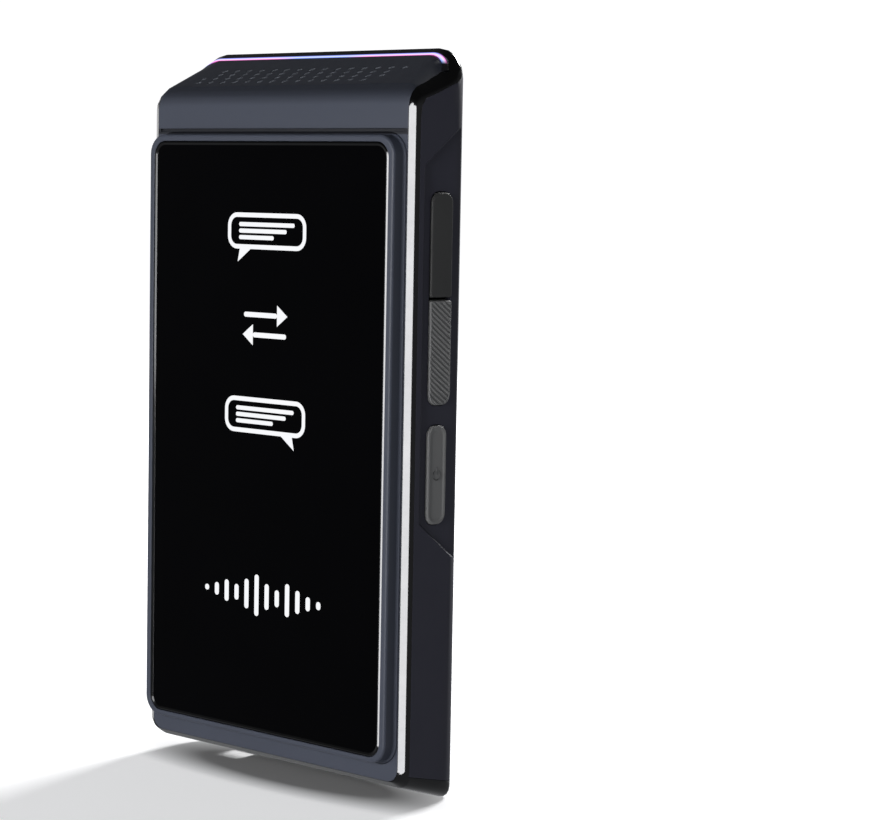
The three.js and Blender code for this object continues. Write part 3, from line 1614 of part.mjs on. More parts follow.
place('key_switch_volume_down', keySwitchPiece(-1, volumeY, volumeMiddle - volumeReach), steel);
place('sim_tray', simTray(), blackChrome);
place('sim_card', simCard(), whitePlastic);
place('sim_connector', cardReaderPiece(), steel);

export default translator;
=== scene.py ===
"""Looks of a handheld translator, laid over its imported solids.

Lengths are in millimetres until a mesh is made. X is to the right seen from the screen side, Y points
out of the back and Z up to the speaker head.
"""

import json

import bpy
import numpy as np
from mathutils import Matrix


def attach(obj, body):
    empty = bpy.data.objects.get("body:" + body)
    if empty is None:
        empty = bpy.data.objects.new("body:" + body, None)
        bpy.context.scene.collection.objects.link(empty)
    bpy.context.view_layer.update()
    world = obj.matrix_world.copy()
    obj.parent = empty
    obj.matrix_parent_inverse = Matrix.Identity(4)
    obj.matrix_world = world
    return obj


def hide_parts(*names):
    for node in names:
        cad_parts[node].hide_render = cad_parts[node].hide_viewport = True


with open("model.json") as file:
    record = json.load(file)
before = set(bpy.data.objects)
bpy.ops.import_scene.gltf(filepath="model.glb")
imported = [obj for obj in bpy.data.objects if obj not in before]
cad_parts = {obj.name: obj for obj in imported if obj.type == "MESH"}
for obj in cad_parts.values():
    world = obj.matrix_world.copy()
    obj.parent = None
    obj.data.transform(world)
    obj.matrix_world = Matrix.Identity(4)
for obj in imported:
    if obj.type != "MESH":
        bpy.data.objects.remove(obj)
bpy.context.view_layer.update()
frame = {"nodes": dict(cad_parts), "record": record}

MILLIMETRE = 0.001

# Camera, as the photograph saw the object
PHOTO_WIDTH = 890
FOCAL_PIXELS = 2500
SENSOR_WIDTH = 36
CLIP_NEAR = 10
CLIP_FAR = 20000
CAMERA_PLACE = (356.26, -354.95, 46.67)
CAMERA_RIGHT = (0.744946, 0.666862, 0.018726)
CAMERA_UP = (-0.073246, 0.053858, 0.995859)
CAMERA_BACK = (0.663092, -0.743232, 0.088966)

# Studio floor: a disc with its rings of points, then a wall that curves up
FLOOR_HEIGHT = -73.3
FLOOR_MIDDLE = 1
FLOOR_NEAR = 200
FLOOR_RADIUS = 2200
WALL_RADIUS = 1500
WALL_RISE = 2600

# The floor's own light: it grows out to white, and fades under the object's long footprint in a painted
# shadow
GLOW_WHITE = 1300
GLOW_NEAR_TONE = (0.56, 0.563, 0.57)
GLOW_FAR_TONE = (0.98, 0.98, 0.985)
FOOTPRINT_SHARES = (0.27, 1, 0)
FOOTPRINT_SHADOW_FADE = (7, 15)

# Sky, with its strength at two heights, and soft lights, each with a place, a size and watts
SKY_TONE = (0.95, 0.97, 1)
SKY_STRENGTHS = (0.32, 0.07)
SKY_HEIGHTS = (0.05, 0.6)
SOFT_LIGHTS = {
    "front_strip": ((170, -800, -30), (170, 700), 7),
    "low_fill": ((-180, -900, 60), (500, 260), 2.5),
    "back_key": ((-150, 900, 560), (320, 320), 25),
    "left_rim": ((-900, 160, 20), (170, 620), 0.5),
}

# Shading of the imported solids: points this close are one, gentler edges than this are smooth, and films
# are crinkled this deep
MERGE_DISTANCE = 0.002
GENTLE_EDGE = 27
CRINKLE_DEPTH = 0.02

# Screen, seen from the front: each rectangle is low x, low z, high x, high z and corner radius, and no
# corner gets sharper than the smallest one
BEZEL = (-34.4, -64.4, 34.4, 56.25, 4)
GLASS = (-32.9, -63.2, 32.9, 54.9, 3)
DISPLAY_OPENING = (-31.7, -62.0, 31.7, 53.7, 3)
SMALLEST_CORNER = 0.01
BEZEL_RIM = -9.9
BEZEL_FOOT = -6.95
BEZEL_SEAT = -8.75
BEZEL_FLARE = 0.6
BEZEL_ROUND = 0.55
BEZEL_LIP_ROUND = 0.12
POCKET_GAP = 0.05
GLASS_FRONT = -9.7
GLASS_BACK = -8.8
GLASS_ROUND = 0.3
TRIM_OUTSIDE = 0.03
TRIM_WIDTH = 0.78
TRIM_RIDGE = -9.885
TRIM_FOOT = -9.62

# Marks on the screen: speech bubbles with lines of text in them, arrows and a sound wave
MARK_RISE = 0.02
BUBBLE_UPPER = (-10.9, 33.6, 11.2, 40.8)
BUBBLE_LOWER = (-11.2, -3.1, 11.6, 4.1)
BUBBLE_CORNER = 2.6
BUBBLE_LINE = 0.9
TAIL_PLACE_SHARE = 0.27
TAIL_HALF_WIDTH = 1.6
TAIL_OVERLAP = 0.1
TAIL_LEAN = 2.2
TAIL_LENGTH = 2.6
TEXT_HEIGHT_SHARES = (0.68, 0.5, 0.32)
TEXT_LEFT_MARGIN = 3.2
TEXT_RIGHT_MARGINS = (3.2, 5.4, 9)
TEXT_HALF = 0.42
ARROW_UPPER = 20.6
ARROW_LOWER = 16.6
ARROW_TIP = 6.3
ARROW_NECK = 3.4
ARROW_TAIL = 6
ARROW_HALF = 0.5
ARROW_HEAD_HALF = 2.1
WAVE_LEVEL = -35.6
WAVE_PITCH = 2.9
WAVE_HALF = 0.6
WAVE_HEIGHTS = (1.2, 2.6, 4.4, 3.2, 6, 8.4, 5.2, 3.4, 6.6, 4.6, 2.8, 1.6)

# Sloped speaker face: its foot and its direction, seen from the side
SLOPE_FOOT = (-6.9, 64.8)
SLOPE_RUN = (14.1, 8.5)
HOLE_ROWS = 4
HOLE_COLUMNS = 16
HOLE_COLUMN_PITCH = 3.6
HOLE_ROW_PITCH = 1.56
HOLE_LENGTH = 1.5
HOLE_WIDTH = 0.8
HOLE_TILT = 24
HOLE_MIDDLE_RUN = 6.503
PAD_SINK = 0.06
PAD_MARGIN = 0.03
MESH_SINK = 1.2
MESH_THICKNESS = 0.3
MESH_MARGIN = 0.1
THREAD_WIDTH = 0.12

# Light strip: the front frame's outline, the strip's place outside it, and the head round it
STRIP_HALF_WIDTH = 35.1
STRIP_TOP = 71.9
STRIP_CORNER = 5.5
STRIP_INNER = 0.02
STRIP_WIDTH = 0.56
STRIP_END = 68.55
STRIP_RISE = 0.03
STRIP_LIFT = 0.02
STRIP_SINK = 0.9
STRIP_ARCH_SHARES = (-1, -0.7, 0, 0.7, 1)
HEAD_HALF_WIDTH = 36.8
HEAD_CORNER = 7

# Fades of tones, each from one place to another along the axis that its material names
# The groove's and the slope's fades are painted shade
GROOVE_SHADE_BEGINS = (56.3, 56.5)
GROOVE_SHADE_ENDS = (57.45, 57.6)
SLOPE_SHADE_BEGINS = (62, 65)
# The back's grey is painted light, for how light falls on the back
BACK_PAINTED_LIGHT = (5.2, 9.4)
FOOT_BLACK = (-70.2, -70.8)
STRIP_ROSE = (7, 13)
STRIP_TURN = (31, 33)
STRIP_DARK = (70.9, 70.1)

# Keys: across them a middle and a half width along Y, their ends along Z, and the steps of the mesh in a
# corner, along the straight and across
KEY_FACE = 36.75
KEY_WALL_FOOT = 34.8
KEY_FLANGE_FOOT = 34.25
KEY_FLANGE = 0.5
KEY_EDGE_ROUND = 0.4
KEY_CORNER = 2.1
KEY_SPLIT_CORNER = 0.35
PLAIN_KEY_STEPS = (8, 60, 40)
RIBBED_KEY_STEPS = (10, 190, 64)
TALK_ACROSS = (1.7, 3)
TALK_UPPER = (25.5, 45.6)
TALK_LOWER = (4.8, 24.9)
POWER_ACROSS = (1.25, 2.65)
POWER_ENDS = (-18.3, 0.9)
VOLUME_ACROSS = (1.9, 2.7)
VOLUME_ENDS = (14.6, 43.6)
ROCKER_FLANGE_DROP = 0.22

# Relief of the keys' faces, with widths counted inwards from the outline, and the raised marks
CROWN_DROP = 0.05
CROWN_WIDTH = 2.4
RIB_PITCH = 1.02
RIB_DEPTH = 0.3
RIB_TILT = -34
RIB_MARGIN = 0.15
RIB_FADE = 0.35
FIELD_DROP = 0.18
FIELD_MARGIN = 0.62
FIELD_EDGE = 0.3
POWER_MARK_STROKE = 0.13
POWER_MARK_RADIUS = 1
POWER_MARK_TURN = (128, 412)
POWER_STEM = (0.1, 1.6)
VOLUME_MARK_STROKE = 0.12
VOLUME_MARK_HALF = 1
PLUS_HEIGHT = 39.2
MINUS_HEIGHT = 18.6

# Camera window on the back: the centres of its upper and lower right corners, and its polished edge
WINDOW_BACK = 9.2
WINDOW_UPPER = (9.9, 63.5)
WINDOW_LOWER = (6.3, 45.1)
WINDOW_CORNER = 2.4
WINDOW_BOW = 0.7
WINDOW_EDGE_OUTSIDE = 0.2
WINDOW_EDGE_INSIDE = -0.42
WINDOW_EDGE_RISE = 0.12
WINDOW_EDGE_SINK = 0.05

# Lens: the funnel's steps go beyond the opening and below the ring's top; those round the dome are a
# radius and a depth under the window
LENS_HEIGHT = 58.4
RING_RADIUS = 5.35
RING_RISE = 0.42
RING_FOOT = 0.05
FUNNEL_STEPS = ((0.75, 0), (0.6, 0.1), (0.35, 0.35), (0.35, 0.5), (0, 0.6))
BARREL_RADIUS = 4.6
BARREL_DEPTH = 1
LENS_OPENING = 3.7
LENS_SEAT = 0.4
LENS_LEDGE = 0.6
DOME_RADII = (0.02, 0.3, 0.6, 1, 1.4, 1.8, 2.1, 2.3)
DOME_TOP = 0.1
DOME_FALL = 0.45
LENS_STEPS = ((2.45, 0.2), (2.7, 0.2), (2.9, 0.05), (3.35, 0.05), (3.6, 0.12), (3.6, 0.38), (0.02, 0.38))

# Flash cover: its levels are a growth of the outline and a rise over the window
FLASH_HEIGHT = 46.9
FLASH_SIZE = (7.8, 4.9)
FLASH_CORNER = 1.5
FLASH_LEVELS = ((0, -1), (0, 0), (-0.05, 0.08), (-0.2, 0.13), (-0.7, 0.16), (-1.3, 0.18))
# The cover's painted glow: the axes' shares of its distance, and its reach
FLASH_GLOW_SHARES = (0.7, 0, 1)
FLASH_GLOW_REACH = 3.2


# Shapes: loops of points, strips between them and closed skins

def quarter_turn(count):
    """Angles over a quarter turn."""
    return np.linspace(0, np.pi / 2, count)


def full_turn(count):
    """Angles once round, without the last one, which is the first again."""
    return np.linspace(0, 2 * np.pi, count, endpoint=False)


def rounded(rectangle, grow, steps=10):
    """Outline of a rectangle with quarter circle corners, moved outwards by grow.

    Each corner is centre + radius * (cos a, sin a) with a over a quarter turn.
    """
    low_x, low_z, high_x, high_z, corner = rectangle
    radius = max(corner + grow, SMALLEST_CORNER)
    inset = radius - grow
    centres_x = np.array([high_x - inset, high_x - inset, low_x + inset, low_x + inset])
    centres_z = np.array([low_z + inset, high_z - inset, high_z - inset, low_z + inset])
    start = np.radians([-90, 0, 90, 180])[:, None]
    angle = start + quarter_turn(steps + 1)[None, :]
    x = centres_x[:, None] + radius * np.cos(angle)
    z = centres_z[:, None] + radius * np.sin(angle)
    return np.stack([x.ravel(), z.ravel()], -1)


def from_front(outline, depth):
    """Flat outline points (across, up) placed at one depth."""
    return np.stack([outline[:, 0], np.full(len(outline), depth), outline[:, 1]], -1)


def stacked(rectangle, levels):
    """Rings of a rounded rectangle, one for each level of (grow, depth)."""
    return np.array([from_front(rounded(rectangle, grow), depth) for grow, depth in levels])


def strip(first, second):
    """Quads between two closed loops of point numbers."""
    return np.stack([np.roll(first, -1), first, second, np.roll(second, -1)], -1)


def fan(loop, centre):
    """Triangles from a closed loop of point numbers to one centre."""
    return np.stack([np.roll(loop, -1), loop, np.full(len(loop), centre)], -1)


def numbered(grid):
    """Numbers of a grid's points, row by row."""
    return np.arange(grid.shape[0] * grid.shape[1]).reshape(grid.shape[:2])


def sleeve(loops):
    """Quads between neighbouring loops of point numbers."""
    return np.concatenate([strip(loops[i], loops[i + 1]) for i in range(len(loops) - 1)])


def skin(rings):
    """Closed shell through rings of points of one count, with a fan over each end."""
    numbers = numbered(rings)
    centres = np.array([rings[0].mean(0), rings[-1].mean(0)])
    points = np.concatenate([rings.reshape(-1, 3), centres])
    triangles = np.concatenate([fan(numbers[0][::-1], numbers.size), fan(numbers[-1], numbers.size + 1)])
    return points, sleeve(numbers), triangles


def hoop(rings):
    """Closed shell through rings of points whose last ring joins the first."""
    numbers = numbered(rings)
    return rings.reshape(-1, 3), sleeve(np.concatenate([numbers, numbers[:1]])), np.zeros((0, 3), int)


def centred(number, count, pitch):
    """Place of one of a count of things spaced evenly about zero."""
    return (number - (count - 1) / 2) * pitch


def grid_quads(rows, columns):
    """Quads of an open grid of points, row by row."""
    corner = np.arange(rows - 1)[:, None] * columns + np.arange(columns - 1)[None, :]
    return np.stack([corner, corner + 1, corner + columns + 1, corner + columns], -1).reshape(-1, 4)


def border(grid):
    """Points round a grid, once, starting along its first row."""
    return np.concatenate([grid[0, :-1], grid[:-1, -1], grid[-1, :0:-1], grid[:0:-1, 0]])


def outward(shell):
    """The shell with its faces turned outwards: its signed volume is the sum of a . (b x c) / 6."""
    points, quads, triangles = shell
    halves = np.concatenate([quads[:, [0, 1, 2]], quads[:, [0, 2, 3]], triangles])
    a, b, c = points[halves[:, 0]], points[halves[:, 1]], points[halves[:, 2]]
    if np.einsum("ij,ij->i", a, np.cross(b, c)).sum() < 0:
        return points, quads[:, ::-1], triangles[:, ::-1]
    return shell


def put_in_scene(name, data):
    """An object for a mesh, a lamp or a lens, linked to the scene."""
    made = bpy.data.objects.new(name, data)
    bpy.context.scene.collection.objects.link(made)
    return made


def smooth_mesh(name, points, faces, material):
    """A smooth mesh object from points in millimetres."""
    mesh = bpy.data.meshes.new(name)
    mesh.from_pydata((points * MILLIMETRE).tolist(), [], faces)
    mesh.shade_smooth()
    mesh.materials.append(material)
    return put_in_scene(name, mesh)


def make_piece(name, shells, body, slot=None, replaces=(), material=None, sharp=40):
    """One object from closed shells, smooth up to the sharp angle, riding on a body.

    It has its slot's finish, unless a material of its own is given.
    """
    points, faces, total = [], [], 0
    for shell in shells:
        places, quads, triangles = outward(shell)
        points.append(places)
        faces.extend((quads + total).tolist())
        faces.extend((triangles + total).tolist())
        total += len(places)
    made = smooth_mesh(name, np.concatenate(points), faces, material or finishes[slot])
    made.data.set_sharp_from_angle(angle=np.radians(sharp))
    flatten_large_faces(made)
    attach(made, body)
    if replaces:
        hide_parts(*replaces)


def flatten_large_faces(thing):
    """Normals lean to the larger faces, so that flats stay flat beside their rounded edges."""
    weighted = thing.modifiers.new("weighted_normals", "WEIGHTED_NORMAL")
    weighted.keep_sharp = True
    weighted.weight = 90


# Nodes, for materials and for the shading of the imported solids

def feed(tree, node, inputs):
    """Each input of a node gets a value, a colour, or a link where a socket is given."""
    for name, value in inputs.items():
        socket = node.inputs[name]
        if isinstance(value, bpy.types.NodeSocket):
            tree.links.new(value, socket)
        elif socket.type == "RGBA":
            socket.default_value = (*value, 1)
        else:
            socket.default_value = value


def new_node(tree, kind, inputs, operation=None):
    """A node of one kind, with its operation if it has one, and its inputs fed."""
    node = tree.nodes.new(kind)
    if operation:
        node.operation = operation
    feed(tree, node, inputs)
    return node


def vector_math(tree, operation, *operands):
    """Result of a vector operation: a number for a length or a dot product, else a vector."""
    node = new_node(tree, "ShaderNodeVectorMath", dict(enumerate(operands)), operation)
    return node.outputs["Value" if operation in ("LENGTH", "DOT_PRODUCT") else "Vector"]


def mapped(tree, scale, move=(0, 0, 0)):
    """Object coordinates times a scale for each axis, then moved."""
    place = tree.nodes.new("ShaderNodeTexCoord").outputs["Object"]
    inputs = {"Vector": place, "Scale": scale, "Location": move}
    return new_node(tree, "ShaderNodeMapping", inputs).outputs["Vector"]


def in_steps(tree, size):
    """Object coordinates counted in steps of one size, in millimetres."""
    return mapped(tree, [1 / (size * MILLIMETRE)] * 3)


def distance_from(tree, shares, centre=(0, 0, 0)):
    """Distance in millimetres from a centre, with each axis counted by its share."""
    scale = [share / MILLIMETRE for share in shares]
    move = [-place * share for place, share in zip(centre, shares)]
    return vector_math(tree, "LENGTH", mapped(tree, scale, move))


def spread(tree, value, low, high, from_low=0.3, from_high=0.7):
    """A value moved from one range to another: by itself the range that a noise mostly fills."""
    return new_node(tree, "ShaderNodeMapRange", {
        "Value": value, "From Min": from_low, "From Max": from_high, "To Min": low, "To Max": high,
    }).outputs["Result"]


def share_between(tree, value, start, end):
    """Share from 0 to 1 as a value goes from start to end."""
    return spread(tree, value, 0, 1, start, end)


def one_axis(tree, axis, kind="Object"):
    """One axis of the object's coordinates or of another kind."""
    place = tree.nodes.new("ShaderNodeTexCoord").outputs[kind]
    return new_node(tree, "ShaderNodeSeparateXYZ", {"Vector": place}).outputs[axis]


def share_along(tree, axis, start, end):
    """Share from 0 to 1 between two places on one axis, in millimetres."""
    return share_between(tree, one_axis(tree, axis), start * MILLIMETRE, end * MILLIMETRE)


def cloudy(tree, size, detail=3):
    """Noise from 0 to 1 whose blotches have one size, in millimetres."""
    inputs = {"Vector": in_steps(tree, size), "Scale": 1, "Detail": detail, "Roughness": 0.55}
    return new_node(tree, "ShaderNodeTexNoise", inputs).outputs["Fac"]


def patchy(tree, size, low, high):
    """A value that wanders from low to high in blotches of one size."""
    return spread(tree, cloudy(tree, size), low, high)


def mixed(tree, share, first, second):
    """A colour between two, each a colour or a socket."""
    node = tree.nodes.new("ShaderNodeMix")
    node.data_type = "RGBA"
    places = [number for number, socket in enumerate(node.inputs) if socket.type == "RGBA"]
    feed(tree, node, {"Factor": share, places[0]: first, places[1]: second})
    return [socket for socket in node.outputs if socket.type == "RGBA"][0]


def clouded(tree, first, second, size):
    """A colour that wanders between two in blotches of one size."""
    return mixed(tree, cloudy(tree, size), first, second)


def ramp(tree, value, stops):
    """Colours along a value from 0 to 1."""
    node = new_node(tree, "ShaderNodeValToRGB", {"Fac": value})
    while len(node.color_ramp.elements) < len(stops):
        node.color_ramp.elements.new(0.5)
    for element, (place, colour) in zip(node.color_ramp.elements, stops):
        element.position = place
        element.color = (*colour, 1)
    return node.outputs["Color"]


def shaded(colour, share):
    """A colour made darker or lighter by a share."""
    return tuple(channel * share for channel in colour)


def scaled(tree, colour, share):
    """A colour socket made darker or lighter by a share."""
    return new_node(tree, "ShaderNodeVectorMath", {0: colour, "Scale": share}, "SCALE").outputs["Vector"]


def rounded_edges(tree, radius):
    """Normals that turn round the edges, and a mask that is 1 on the edges."""
    bevel = new_node(tree, "ShaderNodeBevel", {"Radius": radius * MILLIMETRE})
    bevel.samples = 4
    plain = tree.nodes.new("ShaderNodeNewGeometry").outputs["Normal"]
    likeness = vector_math(tree, "DOT_PRODUCT", bevel.outputs["Normal"], plain)
    return bevel.outputs["Normal"], spread(tree, likeness, low=1, high=0, from_low=0.8, from_high=0.99)


def grained(tree, normal, size, depth, strength=0.6):
    """Normals of a fine moulded grain over the given ones."""
    grain = cloudy(tree, size, detail=2)
    inputs = {"Strength": strength, "Distance": depth * MILLIMETRE, "Height": grain, "Normal": normal}
    return new_node(tree, "ShaderNodeBump", inputs).outputs["Normal"]


def merged_shading_group():
    """Geometry nodes that join a solid's loose triangles and smooth all but its sharp edges."""
    group = bpy.data.node_groups.new("merged_shading", "GeometryNodeTree")
    for in_out in ("INPUT", "OUTPUT"):
        group.interface.new_socket("Geometry", in_out=in_out, socket_type="NodeSocketGeometry")
    start = group.nodes.new("NodeGroupInput").outputs["Geometry"]
    merging = {"Geometry": start, "Distance": MERGE_DISTANCE * MILLIMETRE}
    merged = new_node(group, "GeometryNodeMergeByDistance", merging).outputs["Geometry"]
    smooth = new_node(group, "GeometryNodeSetShadeSmooth", {"Geometry": merged}).outputs["Geometry"]
    angle = group.nodes.new("GeometryNodeInputMeshEdgeAngle").outputs["Unsigned Angle"]
    gentle = new_node(group, "FunctionNodeCompare", {"A": angle, "B": np.radians(GENTLE_EDGE)}, "LESS_THAN")
    edges = group.nodes.new("GeometryNodeSetShadeSmooth")
    edges.domain = "EDGE"
    feed(group, edges, {"Geometry": smooth, "Shade Smooth": gentle.outputs["Result"]})
    new_node(group, "NodeGroupOutput", {"Geometry": edges.outputs["Geometry"]})
    return group


# Materials

def blank_material(name):
    """A new material and its node tree."""
    material = bpy.data.materials.new(name)
    material.use_nodes = True
    return material, material.node_tree


def principled(material, inputs):
    """The material, with the inputs of its Principled shader fed."""
    feed(material.node_tree, material.node_tree.nodes["Principled BSDF"], inputs)
    return material


def moulded(name, colour, roughness, specular, grain, wear_share=1.5, edge=0.2, fades=()):
    """Moulded plastic: a fine grain, faint cloudy tone, and edges rubbed a little lighter.

    The grain is a size and a depth. Each fade takes the tone to another one between two places on an axis;
    some fades carry painted shade and painted light.
    """
    material, tree = blank_material(name)
    normal, on_edge = rounded_edges(tree, edge)
    clouds = patchy(tree, size=14, low=0, high=1)
    tone = mixed(tree, clouds, shaded(colour, share=0.97), shaded(colour, share=1.03))
    for axis, start, end, other in fades:
        tone = mixed(tree, share_along(tree, axis, start, end), tone, other)
    rubbed = spread(tree, on_edge, low=0, high=0.6, from_low=0, from_high=1)
    return principled(material, {
        "Base Color": mixed(tree, rubbed, tone, scaled(tree, tone, wear_share)),
        "Roughness": patchy(tree, size=3.5, low=roughness - 0.04, high=roughness + 0.05),
        "Specular IOR Level": specular,
        "Normal": grained(tree, normal, *grain),
    })


def slate_plastic():
    """Front plastic, with painted shade: dark in the groove over the bezel, and darker on the slope."""
    # shade and slope are painted shade: darker tones for the groove and for the slope, where less light
    # falls
    slate, shade, slope = (0.052, 0.059, 0.082), (0.012, 0.013, 0.018), (0.021, 0.0236, 0.033)
    fades = [("Z", *GROOVE_SHADE_BEGINS, shade), ("Z", *GROOVE_SHADE_ENDS, slate), ("Z", *SLOPE_SHADE_BEGINS, slope)]
    return moulded("slate_front", slate, roughness=0.42, specular=0.35, grain=(0.16, 0.006), fades=fades)


def dark_slate_plastic():
    """Back shell: bluish on its sides, grey on its back by painted light, and black at its foot."""
    # the back's grey tone is painted light: it stands in for how the light falls on the back
    fades = [("Y", *BACK_PAINTED_LIGHT, (0.028, 0.029, 0.033)), ("Z", *FOOT_BLACK, (0.003, 0.003, 0.0035))]
    return moulded("dark_slate_shell", (0.041, 0.041, 0.06), roughness=0.5, specular=0.22,
                   grain=(0.18, 0.008), fades=fades)


def back_panel_plastic():
    return moulded("back_panel_slate", (0.034, 0.035, 0.039), roughness=0.52, specular=0.24,
                   grain=(0.18, 0.008))


def key_plastic(name, colour):
    return moulded(name, colour, roughness=0.45, specular=0.3, grain=(0.12, 0.004), wear_share=1.6,
                   edge=0.16)


def inner_plastic():
    return moulded("black_plastic", (0.01, 0.01, 0.011), roughness=0.55, specular=0.3, grain=(0.2, 0.006))


def white_plastic():
    return moulded("white_plastic", (0.4, 0.406, 0.418), roughness=0.4, specular=0.4, grain=(0.2, 0.003),
                   wear_share=1.05)


def black_chrome():
    """Dark plating: a mirror with faint ripples and fine wiping marks in its roughness."""
    material, tree = blank_material("black_chrome")
    normal, _ = rounded_edges(tree, radius=0.12)
    return principled(material, {
        "Metallic": 1,
        "Base Color": clouded(tree, (0.036, 0.036, 0.037), (0.044, 0.044, 0.045), size=9),
        "Roughness": patchy(tree, size=1.2, low=0.07, high=0.13),
        "Normal": grained(tree, normal, size=2.5, depth=0.004, strength=0.1),
    })


def black_glass():
    """Black glass: almost no tone of its own, a smooth polish with faint finger haze."""
    material, tree = blank_material("black_glass")
    normal, _ = rounded_edges(tree, radius=0.1)
    return principled(material, {
        "Base Color": clouded(tree, (0.0006, 0.0006, 0.0009), (0.0012, 0.0012, 0.0016), size=20),
        "Roughness": patchy(tree, size=6, low=0.05, high=0.1),
        "Specular IOR Level": 0.03,
        "Normal": grained(tree, normal, size=12, depth=0.002, strength=0.1),
    })


def bright_mark():
    """White light of the display marks, a touch cooler in places."""
    material, tree = blank_material("display_light")
    return principled(material, {
        "Base Color": (0, 0, 0),
        "Emission Color": clouded(tree, (0.93, 0.95, 1), (1, 1, 1), size=8),
        "Emission Strength": 0.95,
    })


def light_strip():
    """Lit strip: pale in its middle and blue outside, with a rose inner edge left and right of the middle.

    At its two ends the blue is inside and the rose outside.
    The share across the strip is (distance outside the front frame's outline) / strip width, where the
    distance from a rounded corner is length(max(|p| - corner centre, 0)) - radius.
    """
    material, tree = blank_material("light_strip")
    corner_centre = (STRIP_HALF_WIDTH - STRIP_CORNER, 0, STRIP_TOP - STRIP_CORNER)
    mirrored = vector_math(tree, "ABSOLUTE", mapped(tree, (1 / MILLIMETRE, 0, 1 / MILLIMETRE)))
    beyond = vector_math(tree, "SUBTRACT", mirrored, corner_centre)
    distance = vector_math(tree, "LENGTH", vector_math(tree, "MAXIMUM", beyond, (0, 0, 0)))
    across = share_between(tree, distance, STRIP_CORNER, STRIP_CORNER + STRIP_INNER + STRIP_WIDTH)
    bands = [
        [(0, (0.12, 0.2, 0.75)), (0.25, (0.45, 0.55, 1)), (0.5, (0.62, 0.7, 1)), (0.78, (0.16, 0.22, 0.8))],
        [(0, (0.8, 0.1, 0.5)), (0.22, (1, 0.45, 0.85)), (0.5, (0.7, 0.7, 1)), (0.78, (0.25, 0.25, 0.95))],
        [(0, (0.1, 0.2, 0.75)), (0.3, (0.45, 0.6, 1)), (0.55, (0.8, 0.7, 1)), (0.8, (0.9, 0.25, 0.7))],
    ]
    dark_rim = (0.95, (0.01, 0.01, 0.03))
    cool, warm, turned_round = [ramp(tree, across, [*band, dark_rim]) for band in bands]
    sideways = distance_from(tree, (1, 0, 0))
    lit = mixed(tree, share_between(tree, sideways, *STRIP_ROSE), cool, warm)
    lit = mixed(tree, share_between(tree, sideways, *STRIP_TURN), lit, turned_round)
    return principled(material, {
        "Base Color": (0.006, 0.006, 0.008),
        "Roughness": 0.3,
        "Emission Color": mixed(tree, share_along(tree, "Z", *STRIP_DARK), lit, (0, 0, 0)),
        "Emission Strength": 1.3,
    })


def coated_lens_with_painted_glint():
    """Coated front element: a pale blue pupil, which is a painted glint, in a deep blue, fading to black at
    the rim.
    """
    material, tree = blank_material("coated_lens_with_painted_glint")
    out = distance_from(tree, (1, 0, 1), (0, 0, LENS_HEIGHT))
    # the pale blue middle is a painted glint; the deep blue round it is the coating's own tint
    stops = [
        (0, (0.75, 0.95, 1)), (0.1, (0.35, 0.8, 0.95)), (0.2, (0.02, 0.12, 0.2)),
        (0.4, (0.004, 0.006, 0.012)), (1, (0.002, 0.002, 0.003)),
    ]
    return principled(material, {
        "Base Color": ramp(tree, share_between(tree, out, 0, LENS_OPENING), stops),
        "Roughness": patchy(tree, size=4, low=0.03, high=0.06),
        "Specular IOR Level": 0.8,
    })


def lens_plating():
    """Dark polished ring, turned, with a fine spin in its roughness."""
    material, tree = blank_material("lens_plating")
    out = distance_from(tree, (1, 0, 1), (0, 0, LENS_HEIGHT))
    spin = spread(tree, out, low=0, high=180, from_low=0, from_high=RING_RADIUS)
    wave = new_node(tree, "ShaderNodeMath", {0: spin}, "SINE").outputs[0]
    return principled(material, {
        "Metallic": 1,
        "Base Color": clouded(tree, (0.02, 0.02, 0.022), (0.05, 0.05, 0.055), size=3),
        "Roughness": spread(tree, wave, low=0.1, high=0.2, from_low=-1, from_high=1),
    })


def flash_plastic():
    """Frosted flash cover over a pale lamp, with a painted glow that is brighter in its middle."""
    material, tree = blank_material("flash_cover")
    out = distance_from(tree, FLASH_GLOW_SHARES, (0, 0, FLASH_HEIGHT))
    stops = [(0, (0.9, 0.9, 0.9)), (0.35, (0.62, 0.62, 0.63)), (1, (0.3, 0.3, 0.32))]
    return principled(material, {
        "Base Color": clouded(tree, (0.2, 0.2, 0.21), (0.25, 0.25, 0.26), size=1.5),
        "Roughness": patchy(tree, size=0.5, low=0.25, high=0.4),
        # painted light: the cover glows, brightest in its middle
        "Emission Color": ramp(tree, share_between(tree, out, 0, FLASH_GLOW_REACH), stops),
        "Emission Strength": 0.6,
    })


def metal(name, colour):
    """Stamped metal with faint stains and fine scratches in its roughness."""
    material, tree = blank_material(name)
    return principled(material, {
        "Metallic": 1,
        "Base Color": clouded(tree, shaded(colour, share=0.85), colour, size=5),
        "Roughness": patchy(tree, size=0.8, low=0.23, high=0.38),
    })


def circuit_board():
    """Green board: solder resist over a pattern of fine tracks."""
    material, tree = blank_material("circuit_board")
    tracks = new_node(tree, "ShaderNodeTexBrick", {
        "Vector": in_steps(tree, size=3), "Scale": 1, "Mortar Size": 0.03,
        "Color1": (0.012, 0.06, 0.03), "Color2": (0.016, 0.075, 0.036), "Mortar": (0.03, 0.13, 0.06),
    })
    return principled(material, {
        "Base Color": tracks.outputs["Color"],
        "Roughness": patchy(tree, size=2, low=0.35, high=0.5),
    })


